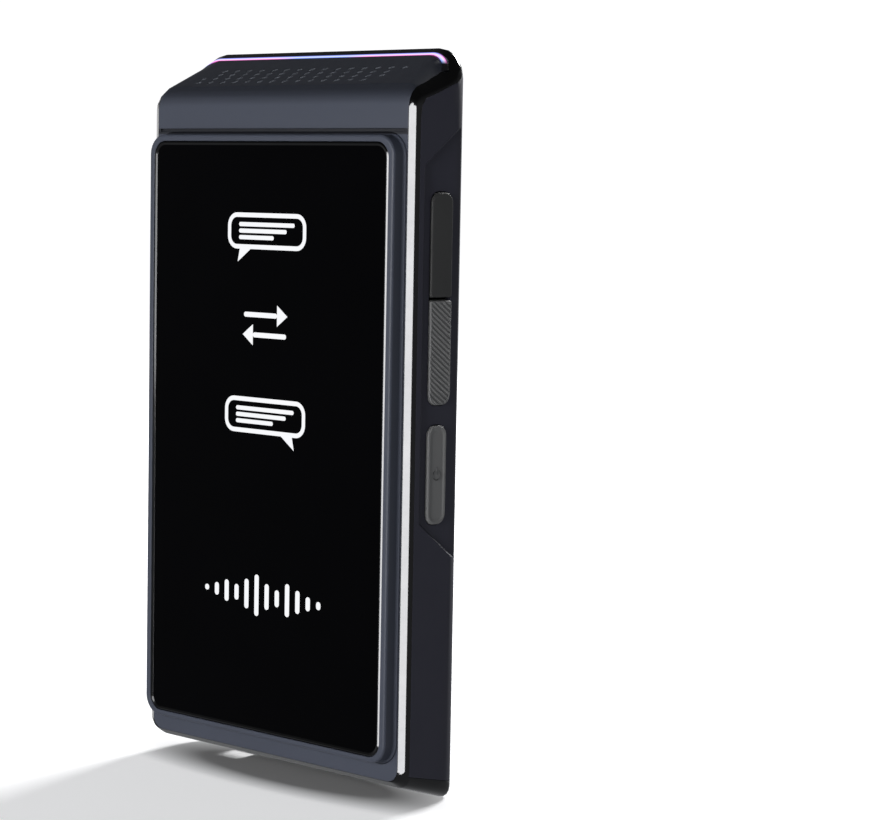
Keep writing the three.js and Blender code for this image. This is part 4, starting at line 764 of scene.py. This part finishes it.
def film(name, colour):
    """Thin plastic film with a faint crinkle."""
    material, tree = blank_material(name)
    crinkle = {"Distance": CRINKLE_DEPTH * MILLIMETRE, "Height": cloudy(tree, size=2.5)}
    return principled(material, {
        "Base Color": clouded(tree, shaded(colour, share=0.8), colour, size=6),
        "Roughness": 0.4,
        "Normal": new_node(tree, "ShaderNodeBump", crinkle).outputs["Normal"],
    })


def acoustic_cloth():
    """Acoustic cloth: a tiny check of light and dark threads."""
    material, tree = blank_material("acoustic_cloth")
    check = new_node(tree, "ShaderNodeTexChecker", {
        "Vector": in_steps(tree, THREAD_WIDTH), "Scale": 1,
        "Color1": (0.085, 0.094, 0.112), "Color2": (0.125, 0.138, 0.16),
    })
    return principled(material, {"Base Color": check.outputs["Color"], "Roughness": 0.7})


finishes = {
    "slate": slate_plastic(),
    "dark_slate": dark_slate_plastic(),
    "grey_slate": back_panel_plastic(),
    "black_chrome": black_chrome(),
    "black_glass": black_glass(),
    "black_plastic": inner_plastic(),
    "light_guide": light_strip(),
    "lens_ring": lens_plating(),
    "lens_glass": coated_lens_with_painted_glint(),
    "white_plastic": white_plastic(),
    "key_dark": key_plastic("key_dark", (0.05, 0.05, 0.05)),
    "key_grey": key_plastic("key_grey", (0.215, 0.215, 0.215)),
    "steel": metal("steel", (0.5, 0.51, 0.53)),
    "circuit_board": circuit_board(),
    "battery_wrap": film("battery_wrap", (0.03, 0.033, 0.038)),
    "contacts": metal("contacts", (0.6, 0.42, 0.16)),
    "flex_film": film("flex_film", (0.35, 0.16, 0.04)),
}


def dress_solids():
    """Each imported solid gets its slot's finish and smooth shading."""
    group = merged_shading_group()
    for part in frame["record"]["subparts"]:
        solid = frame["nodes"][part["node"]]
        solid.data.materials.clear()
        solid.data.materials.append(finishes[part["material_slot"]])
        shading = solid.modifiers.new("merged_shading", "NODES")
        shading.node_group = group
        flatten_large_faces(solid)


# Screen

def bezel():
    """Raised frame round the glass: a closed profile carried round three rounded rectangles.

    The foot is a quarter circle cove, the rim a quarter circle round.
    """
    turn = quarter_turn(7)
    cos_share = 1 - np.cos(turn)
    sin_share = 1 - np.sin(turn)
    cove = zip(BEZEL_FLARE * cos_share[::-1], BEZEL_FOOT - BEZEL_FLARE * sin_share[::-1])
    rim = zip(-BEZEL_ROUND * cos_share, BEZEL_RIM + BEZEL_ROUND * sin_share)
    lip = zip(POCKET_GAP + BEZEL_LIP_ROUND * sin_share, BEZEL_RIM + BEZEL_LIP_ROUND * cos_share)
    rings = np.concatenate([
        stacked(BEZEL, [*cove, *rim]),
        stacked(GLASS, [*lip, (POCKET_GAP, BEZEL_SEAT)]),
        stacked(DISPLAY_OPENING, [(0, BEZEL_SEAT), (0, BEZEL_FOOT)]),
    ])
    make_piece("screen_bezel", [hoop(rings)], "housing", "slate", ["display_bezel"])


def glass():
    """Glass plate whose front edge is a quarter circle round."""
    turn = quarter_turn(6)[::-1]
    edge = zip(-GLASS_ROUND * (1 - np.cos(turn)), GLASS_FRONT + GLASS_ROUND * (1 - np.sin(turn)))
    plate = skin(stacked(GLASS, [*edge, (0, GLASS_BACK)]))
    make_piece("screen_glass", [plate], "housing", "black_glass", ["display_glass"])


def screen_trim():
    """Polished trim over the glass's edge: two flats that meet in a ridge, carried round the glass."""
    inside = TRIM_OUTSIDE - TRIM_WIDTH
    profile = [
        (TRIM_OUTSIDE, TRIM_FOOT), (TRIM_OUTSIDE, GLASS_FRONT), ((TRIM_OUTSIDE + inside) / 2, TRIM_RIDGE),
        (inside, GLASS_FRONT), (inside, TRIM_FOOT),
    ]
    make_piece("screen_trim", [hoop(stacked(GLASS, profile))], "housing", "black_chrome", sharp=20)


def flat_mark(outline):
    """A display mark as a thin plate over an outline that can be seen whole from its middle."""
    return skin(np.array([from_front(outline, GLASS_FRONT + rise) for rise in (-MARK_RISE, MARK_RISE)]))


def bar(low_x, low_z, high_x, high_z):
    """A display mark with round ends."""
    corner = min(high_x - low_x, high_z - low_z) / 2 - SMALLEST_CORNER
    return flat_mark(rounded((low_x, low_z, high_x, high_z, corner), 0, steps=6))


def bubble(low_x, low_z, high_x, high_z, tail_side):
    """Speech bubble: a rounded frame, three bars in it and a small tail under it."""
    outer, inner = GLASS_FRONT - MARK_RISE, GLASS_FRONT + MARK_RISE
    levels = [(0, outer), (-BUBBLE_LINE, outer), (-BUBBLE_LINE, inner), (0, inner)]
    tail_x = (low_x + high_x) / 2 + tail_side * (high_x - low_x) * TAIL_PLACE_SHARE
    tail = np.array([
        (tail_x - TAIL_HALF_WIDTH, low_z + TAIL_OVERLAP),
        (tail_x + TAIL_HALF_WIDTH, low_z + TAIL_OVERLAP),
        (tail_x + tail_side * TAIL_LEAN, low_z - TAIL_LENGTH),
    ])
    marks = [hoop(stacked((low_x, low_z, high_x, high_z, BUBBLE_CORNER), levels)), flat_mark(tail)]
    for height_share, margin in zip(TEXT_HEIGHT_SHARES, TEXT_RIGHT_MARGINS):
        level = low_z + (high_z - low_z) * height_share
        marks.append(bar(low_x + TEXT_LEFT_MARGIN, level - TEXT_HALF, high_x - margin, level + TEXT_HALF))
    return marks


def arrow(level, direction):
    """A bar with a triangle for its head."""
    tip = ARROW_TIP * direction
    neck = ARROW_NECK * direction
    tail = -ARROW_TAIL * direction
    shaft = bar(min(tail, neck), level - ARROW_HALF, max(tail, neck), level + ARROW_HALF)
    head = np.array([(neck, level - ARROW_HEAD_HALF), (tip, level), (neck, level + ARROW_HEAD_HALF)])
    return [shaft, flat_mark(head[::direction])]


def display_marks():
    """Generic marks on the lit screen: two bubbles, two arrows and a sound wave."""
    marks = bubble(*BUBBLE_UPPER, -1) + arrow(ARROW_UPPER, 1)
    marks += arrow(ARROW_LOWER, -1) + bubble(*BUBBLE_LOWER, 1)
    for number, height in enumerate(WAVE_HEIGHTS):
        middle = centred(number, len(WAVE_HEIGHTS), WAVE_PITCH)
        low, high = WAVE_LEVEL - height / 2, WAVE_LEVEL + height / 2
        marks.append(bar(middle - WAVE_HALF, low, middle + WAVE_HALF, high))
    make_piece("display_marks", marks, "housing", material=bright_mark())


# Light strip along the ridge

def head_depth(x, z):
    """Depth of the sloped face at a place: the slope's plane, set back where its corners fall away.

    The corners fall by corner - sqrt(corner^2 - beyond^2), where beyond is the distance past their start.
    """
    beyond = np.clip(np.abs(x) - (HEAD_HALF_WIDTH - HEAD_CORNER), 0, HEAD_CORNER)
    fall = HEAD_CORNER - np.sqrt(HEAD_CORNER ** 2 - beyond ** 2)
    return SLOPE_FOOT[0] + (z + fall - SLOPE_FOOT[1]) * SLOPE_RUN[0] / SLOPE_RUN[1]


def light_guide():
    """Light guide: a band round the front frame's top, laid on the sloped face.

    The band runs round a quarter circle, along the top and round the other quarter circle; its section
    is a low arch, inner edge + width * share across and rise * (1 - share^2) above the face.
    """
    turn = quarter_turn(24)
    out = np.concatenate([np.cos(turn), -np.sin(turn)])
    up = np.concatenate([np.sin(turn), np.cos(turn)])
    centre_x = np.repeat([1, -1], len(turn)) * (STRIP_HALF_WIDTH - STRIP_CORNER)
    centre_z = STRIP_TOP - STRIP_CORNER
    inner = STRIP_CORNER + STRIP_INNER
    kept = centre_z + inner * up > STRIP_END
    rows = []
    for share in STRIP_ARCH_SHARES:
        reach = inner + STRIP_WIDTH * (share + 1) / 2
        x = (centre_x + reach * out)[kept]
        z = (centre_z + reach * up)[kept]
        depth = head_depth(x, z) - STRIP_RISE * (1 - share * share) - STRIP_LIFT
        rows.append(np.stack([x, depth, z], -1))
    sink = np.array([0, STRIP_SINK, 0])
    rows += [rows[-1] + sink, rows[0] + sink]
    section = np.array(rows).transpose(1, 0, 2)
    make_piece("light_guide_lit", [skin(section)], "housing", "light_guide", ["light_bar"])


# Speaker cloth

def on_slope(across, run, sink):
    """Places on the sloped face: run up the slope from its foot and sink under it."""
    direction = np.array(SLOPE_RUN) / np.hypot(*SLOPE_RUN)
    depth = SLOPE_FOOT[0] + run * direction[0] + sink * direction[1]
    up = SLOPE_FOOT[1] + run * direction[1] - sink * direction[0]
    return np.stack(np.broadcast_arrays(across, depth, up), -1)


def hole_is_there(row, column):
    """The first column keeps its lower holes, the last but one all but its lowest, the last its top one."""
    there = {0: row < HOLE_ROWS / 2, HOLE_COLUMNS - 2: row > 0, HOLE_COLUMNS - 1: row == HOLE_ROWS - 1}
    return there.get(column, True)


def cloth_pad(across, run):
    """A slanted pad that fills one sound hole to just under the face: a stadium outline."""
    tilt = np.radians(HOLE_TILT)
    radius = HOLE_WIDTH / 2 - PAD_MARGIN
    straight = (HOLE_LENGTH - HOLE_WIDTH) / 2
    swing = np.radians(np.array([-60, 0, 60, 120, 180, 240]))
    length = np.where(np.cos(swing) > 0, straight, -straight) + radius * np.cos(swing)
    side = radius * np.sin(swing)
    x = across + length * np.cos(tilt) - side * np.sin(tilt)
    up = run + length * np.sin(tilt) + side * np.cos(tilt)
    return skin(np.array([on_slope(x, up, PAD_SINK), on_slope(x, up, MESH_SINK + MESH_THICKNESS / 2)]))


def speaker_cloth():
    """Cloth sheet under the sloped face, pressed up into each slanted hole."""
    half = HOLE_COLUMN_PITCH * (HOLE_COLUMNS - 1) / 2 + HOLE_LENGTH / 2 + MESH_MARGIN
    reach = HOLE_ROW_PITCH * (HOLE_ROWS - 1) / 2 + HOLE_WIDTH / 2 + MESH_MARGIN
    sheet_x = np.array([-half, half, half, -half])
    sheet_run = HOLE_MIDDLE_RUN + np.array([-reach, -reach, reach, reach])
    sheet = [on_slope(sheet_x, sheet_run, sink) for sink in (MESH_SINK, MESH_SINK + MESH_THICKNESS)]
    shells = [skin(np.array(sheet))]
    for column in range(HOLE_COLUMNS):
        across = centred(column, HOLE_COLUMNS, HOLE_COLUMN_PITCH)
        for row in range(HOLE_ROWS):
            if hole_is_there(row, column):
                shells.append(cloth_pad(across, HOLE_MIDDLE_RUN + centred(row, HOLE_ROWS, HOLE_ROW_PITCH)))
    make_piece("speaker_cloth", shells, "housing", "black_plastic", ["speaker_mesh"], acoustic_cloth())


# Keys

def stadium_rows(half_width, half_length, low_corner, high_corner, corner_steps, straight_steps):
    """Rows along a key and its half width at each: a quarter circle at each end, straight between."""
    turn = quarter_turn(corner_steps + 1)
    (low, low_width), (high, high_width) = [
        (half_length - corner * (1 - np.sin(turn)), half_width - corner * (1 - np.cos(turn)))
        for corner in (low_corner, high_corner)
    ]
    straight = np.linspace(-low[0], high[0], straight_steps + 1)[1:-1]
    width = np.concatenate([low_width[::-1], np.full(len(straight), half_width), high_width])
    return np.concatenate([-low[::-1], straight, high]), width


def inside_edge(across, along, half_width, half_length, low_corner, high_corner):
    """Distance inwards from the outline of a rectangle with round corners."""
    corner = np.where(along > 0, high_corner, low_corner)
    beyond_across = np.abs(across) - (half_width - corner)
    beyond_along = np.abs(along) - (half_length - corner)
    outside = np.hypot(np.maximum(beyond_across, 0), np.maximum(beyond_along, 0))
    return corner - outside - np.minimum(np.maximum(beyond_across, beyond_along), 0)


def eased(value):
    """Smooth step from 0 to 1."""
    share = np.clip(value, 0, 1)
    return share * share * (3 - 2 * share)


def round_over(inside, width):
    """Drop of a quarter circle edge: 0 inside, width at the outline."""
    share = np.clip(1 - inside / width, 0, 1)
    return -width * (1 - np.sqrt(1 - share * share))


def key_cap(side, across_key, ends, relief, corners=(KEY_CORNER, KEY_CORNER), steps=PLAIN_KEY_STEPS,
            flange_drop=0):
    """A key: a height field over its rounded outline, a straight wall and a flange inside the shell."""
    middle, half_width = across_key
    low, high = ends
    half_length = (high - low) / 2
    centre = (high + low) / 2
    corner_steps, straight_steps, columns = steps
    share = np.sin(np.linspace(-np.pi / 2, np.pi / 2, columns + 1))

    def grid(grow):
        along, width = stadium_rows(half_width + grow, half_length + grow, corners[0] + grow,
                                    corners[1] + grow, corner_steps, straight_steps)
        return share[None, :] * width[:, None], np.broadcast_to(along[:, None], (len(along), len(share)))

    def placed(out, across, along):
        return np.stack([side * out, middle + across, centre + along], -1)

    across, along = grid(0)
    inside = inside_edge(across, along, half_width, half_length, *corners)
    out = KEY_FACE + round_over(inside, KEY_EDGE_ROUND) + relief(across, along, inside)
    top = placed(out, across, along)
    wall_foot = KEY_WALL_FOOT - flange_drop
    rings = []
    for grow, depth in ((0, wall_foot), (KEY_FLANGE, wall_foot), (KEY_FLANGE, KEY_FLANGE_FOOT)):
        ring = [border(values) for values in grid(grow)]
        rings.append(placed(np.full(len(ring[0]), depth), *ring))
    points = [top.reshape(-1, 3), *rings, rings[-1].mean(0)[None, :]]
    numbers = numbered(top)
    count = len(rings[0])
    loops = [border(numbers)]
    loops += [numbers.size + count * level + np.arange(count) for level in range(len(rings))]
    quads = np.concatenate([grid_quads(*numbers.shape), sleeve(loops)])
    return np.concatenate(points), quads, fan(loops[-1], numbers.size + count * len(rings))


def plain_relief(across, along, inside):
    """A faint crown over the key."""
    return -CROWN_DROP * (1 - eased(inside / CROWN_WIDTH))


def field_relief(across, along, inside):
    """A field let into the key, with a rounded rim round it."""
    return -FIELD_DROP * eased((inside - FIELD_MARGIN) / FIELD_EDGE)


def rib_relief(across, along, inside):
    """Slanted ribs: grooves of (1 - cos)^1.5 shape across the ribs' direction, fading at the edge."""
    tilt = np.radians(RIB_TILT)
    across_ribs = along * np.cos(tilt) - across * np.sin(tilt)
    groove = 0.5 - 0.5 * np.cos(2 * np.pi * across_ribs / (RIB_PITCH * np.cos(tilt)))
    return -RIB_DEPTH * groove ** 1.5 * eased((inside - RIB_MARGIN) / RIB_FADE)


def tube(points, radius, sides=10):
    """A round bar along points in the plane of a key's face, closed by a fan at each end."""
    direction = np.gradient(points, axis=0)
    direction /= np.linalg.norm(direction, axis=1)[:, None]
    sideways = np.cross(direction, (1, 0, 0))
    angle = full_turn(sides)
    ring = radius * (np.cos(angle)[None, :, None] * np.array((1, 0, 0))
                     + np.sin(angle)[None, :, None] * sideways[:, None, :])
    return skin(points[:, None, :] + ring)


def line(out, start, end, steps=4):
    """Points on a key's face from one place to another, both (y, z)."""
    share = np.linspace(0, 1, steps)[:, None]
    return np.array((out, *start)) * (1 - share) + np.array((out, *end)) * share


def talk_keys():
    """Upper talk key, smooth, and lower talk key, ribbed, with a sharp corner where they meet."""
    corners = (KEY_SPLIT_CORNER, KEY_CORNER)
    upper = key_cap(1, TALK_ACROSS, TALK_UPPER, plain_relief, corners)
    lower = key_cap(1, TALK_ACROSS, TALK_LOWER, rib_relief, corners[::-1], RIBBED_KEY_STEPS)
    make_piece("talk_key_smooth", [upper], "talk_key_upper", "key_dark", ["talk_button_upper"])
    make_piece("talk_key_ribbed", [lower], "talk_key_lower", "key_grey", ["talk_button_lower"])


def power_key():
    """Power key with an open circle and a short bar, the usual power mark, raised on its field."""
    cap = key_cap(1, POWER_ACROSS, POWER_ENDS, field_relief)
    make_piece("power_key_cap", [cap], "power_key", "key_grey", ["power_button"])
    field = KEY_FACE - FIELD_DROP
    y, z = POWER_ACROSS[0], sum(POWER_ENDS) / 2
    angle = np.radians(np.linspace(*POWER_MARK_TURN, 40))
    circle = [y + POWER_MARK_RADIUS * np.cos(angle), z + POWER_MARK_RADIUS * np.sin(angle)]
    arc = np.stack([np.full(len(angle), field), *circle], -1)
    stem = line(field, (y, z + POWER_STEM[0]), (y, z + POWER_STEM[1]))
    make_piece("power_mark", [tube(stroke, POWER_MARK_STROKE) for stroke in (arc, stem)], "power_key",
               material=key_plastic("key_mark_light", (0.09, 0.092, 0.095)))


def volume_key():
    """Volume rocker with a raised plus above and a raised minus below."""
    cap = key_cap(-1, VOLUME_ACROSS, VOLUME_ENDS, field_relief, flange_drop=ROCKER_FLANGE_DROP)
    make_piece("volume_key_cap", [cap], "volume_key", "key_grey", ["volume_rocker"],
               key_plastic("volume_key_grey", (0.05, 0.051, 0.052)))
    field = -(KEY_FACE - FIELD_DROP)
    y, half = VOLUME_ACROSS[0], VOLUME_MARK_HALF
    strokes = [
        line(field, (y - half, PLUS_HEIGHT), (y + half, PLUS_HEIGHT)),
        line(field, (y, PLUS_HEIGHT - half), (y, PLUS_HEIGHT + half)),
        line(field, (y - half, MINUS_HEIGHT), (y + half, MINUS_HEIGHT)),
    ]
    make_piece("volume_marks", [tube(stroke, VOLUME_MARK_STROKE) for stroke in strokes], "volume_key",
               material=key_plastic("key_mark_dark", (0.008, 0.008, 0.009)))


# Camera and flash

def window_quarter(centre, grow, side):
    """A quarter of the window's outline: a quarter circle, then an edge that bows towards the middle.

    The edge rises by bow * (1 - share ^ 2), where share goes from 1 at the corner to 0 in the middle.
    """
    turn = quarter_turn(9)
    share = np.linspace(1, 0, 11)[1:]
    radius = WINDOW_CORNER + grow
    x = np.concatenate([centre[0] + radius * np.cos(turn), centre[0] * share])
    rise = np.concatenate([radius * np.sin(turn), radius + WINDOW_BOW * (1 - share ** 2)])
    return np.stack([x, centre[1] + side * rise], -1)


def window_outline(grow):
    """Outline of the camera window, moved outwards by grow: the right half, then its mirror image."""
    lower = window_quarter(WINDOW_LOWER, grow, -1)
    right = np.concatenate([lower[::-1], window_quarter(WINDOW_UPPER, grow, 1)])
    left = (right * np.array([-1, 1]))[-2:0:-1]
    return np.concatenate([right, left])


def window_edge():
    """Polished edge of the camera window: two flats that meet in a ridge over the glass's outline."""
    foot = WINDOW_BACK - WINDOW_EDGE_SINK
    profile = [
        (WINDOW_EDGE_OUTSIDE, foot), (WINDOW_EDGE_OUTSIDE, WINDOW_BACK + WINDOW_EDGE_RISE / 2),
        (0, WINDOW_BACK + WINDOW_EDGE_RISE), (WINDOW_EDGE_INSIDE, WINDOW_BACK), (WINDOW_EDGE_INSIDE, foot),
    ]
    rings = np.array([from_front(window_outline(grow), depth) for grow, depth in profile])
    make_piece("window_edge", [hoop(rings)], "housing", "black_chrome", sharp=12)


def turned(profile, sides=72):
    """Rings of a profile of (radius, depth) turned about the lens axis, which runs along Y."""
    angle = full_turn(sides)
    radius, depth = np.array(profile, float).T
    x = radius[:, None] * np.cos(angle)[None, :]
    z = LENS_HEIGHT + radius[:, None] * np.sin(angle)[None, :]
    return np.stack([x, np.broadcast_to(depth[:, None], x.shape), z], -1)


def lens_ring():
    """Polished ring: a quarter round outside, a flat top, and a stepped funnel down to the lens."""
    turn = quarter_turn(7)
    top = WINDOW_BACK + RING_RISE
    foot = WINDOW_BACK + RING_FOOT
    seat = WINDOW_BACK - LENS_SEAT
    end = WINDOW_BACK - BARREL_DEPTH
    ledge = LENS_OPENING - LENS_LEDGE
    outer = zip(RING_RADIUS - RING_RISE * (1 - np.cos(turn)), foot + (RING_RISE - RING_FOOT) * np.sin(turn))
    funnel = [(LENS_OPENING + beyond, top - below) for beyond, below in FUNNEL_STEPS]
    barrel = [(LENS_OPENING, seat), (ledge, seat), (ledge, end), (BARREL_RADIUS, end), (BARREL_RADIUS, foot)]
    rings = turned([*outer, *funnel, *barrel])
    make_piece("lens_ring_polished", [hoop(rings)], "housing", "lens_ring", ["camera_lens_ring"], sharp=30)


def front_lens():
    """Domed front element with small steps round it: the dome falls as the square of the radius."""
    dome = [(radius, DOME_TOP - DOME_FALL * (radius / DOME_RADII[-1]) ** 2) for radius in DOME_RADII]
    steps = [(radius, -depth) for radius, depth in LENS_STEPS]
    rings = turned([(radius, WINDOW_BACK + rise) for radius, rise in dome + steps])
    make_piece("front_lens", [skin(rings)], "housing", "lens_glass", ["camera_lens"], sharp=30)


def flash_cover():
    """Flash cover: a rounded plate with a soft edge and a shallow dome."""
    width, height = FLASH_SIZE
    shape = (-width / 2, FLASH_HEIGHT - height / 2, width / 2, FLASH_HEIGHT + height / 2, FLASH_CORNER)
    plate = skin(stacked(shape, [(grow, WINDOW_BACK + rise) for grow, rise in FLASH_LEVELS]))
    make_piece("flash_cover", [plate], "housing", "white_plastic", ["flash_lens"], flash_plastic())


# Studio

def floor_paint():
    """Pale paint with its own faint light, which grows towards the far wall and stops under the object in a
    painted shadow.
    """
    material, tree = blank_material("floor_paint")
    far = share_between(tree, distance_from(tree, (1, 1, 0)), 0, GLOW_WHITE)
    glow = ramp(tree, far, [(0.05, GLOW_NEAR_TONE), (1, GLOW_FAR_TONE)])
    # painted shadow: the glow fades out under the object's footprint
    clear = share_between(tree, distance_from(tree, FOOTPRINT_SHARES), *FOOTPRINT_SHADOW_FADE)
    return principled(material, {
        "Base Color": clouded(tree, (0.5, 0.5, 0.505), (0.52, 0.52, 0.525), size=400),
        "Roughness": 0.9,
        "Specular IOR Level": 0.1,
        "Emission Color": mixed(tree, clear, (0, 0, 0), glow),
        "Emission Strength": 1,
    })


def studio_floor():
    """Pale floor that curves up into a wall far round the object: height grows as a circle's arc."""
    turn = quarter_turn(16)[1:]
    flat = [FLOOR_MIDDLE, *np.linspace(FLOOR_NEAR, FLOOR_RADIUS, 6)]
    wall = FLOOR_RADIUS + WALL_RADIUS * np.sin(turn)
    radius = np.array([*flat, *wall, wall[-1]])[:, None]
    height = np.array([*np.zeros(len(flat)), *(WALL_RADIUS * (1 - np.cos(turn))), WALL_RISE])[:, None]
    angle = full_turn(96)
    x = radius * np.cos(angle)
    rings = np.stack([x, radius * np.sin(angle), np.broadcast_to(FLOOR_HEIGHT + height, x.shape)], -1)
    numbers = numbered(rings)
    faces = sleeve(numbers).tolist() + [numbers[0].tolist()]
    floor = smooth_mesh("floor", rings.reshape(-1, 3), faces, floor_paint())
    floor.visible_glossy = False
    floor.visible_diffuse = False


def stand(thing, place, across, up, back):
    """A lamp or a camera at a place, its own axes turned to three directions; it looks away from back."""
    axes = np.array([across, up, back]).T
    turn = Matrix([(*row, 0) for row in axes] + [(0, 0, 0, 1)])
    thing.matrix_world = Matrix.Translation([p * MILLIMETRE for p in place]) @ turn


def softbox(name, place, size, watts):
    """A rectangular soft light that looks at the object."""
    lamp = bpy.data.lights.new(name, "AREA")
    lamp.shape = "RECTANGLE"
    lamp.size, lamp.size_y = np.array(size) * MILLIMETRE
    lamp.energy = watts
    light = put_in_scene(name, lamp)
    back = np.array(place, float) / np.linalg.norm(place)
    across = np.cross((0, 0, 1), back)
    across /= np.linalg.norm(across)
    stand(light, place, across, np.cross(back, across), back)
    light.visible_camera = False


def studio_light():
    """A pale sky, stronger near the horizon, and the soft lights."""
    world = bpy.data.worlds.new("studio")
    world.use_nodes = True
    tree = world.node_tree
    strength = spread(tree, one_axis(tree, "Z", "Generated"), *SKY_STRENGTHS, *SKY_HEIGHTS)
    feed(tree, tree.nodes["Background"], {"Color": SKY_TONE, "Strength": strength})
    bpy.context.scene.world = world
    for name, (place, size, watts) in SOFT_LIGHTS.items():
        softbox(name, place, size, watts)


def photo_camera():
    """Camera that sees the object as the photograph does."""
    lens = bpy.data.cameras.new("photo_camera")
    lens.sensor_width = SENSOR_WIDTH
    lens.lens = FOCAL_PIXELS / PHOTO_WIDTH * SENSOR_WIDTH
    lens.clip_start = CLIP_NEAR * MILLIMETRE
    lens.clip_end = CLIP_FAR * MILLIMETRE
    camera = put_in_scene("photo_camera", lens)
    stand(camera, CAMERA_PLACE, CAMERA_RIGHT, CAMERA_UP, CAMERA_BACK)
    bpy.context.scene.camera = camera


dress_solids()
bezel()
glass()
screen_trim()
display_marks()
light_guide()
speaker_cloth()
talk_keys()
power_key()
volume_key()
window_edge()
lens_ring()
front_lens()
flash_cover()
studio_floor()
studio_light()
photo_camera()
bpy.context.scene.view_settings.view_transform = "Standard"
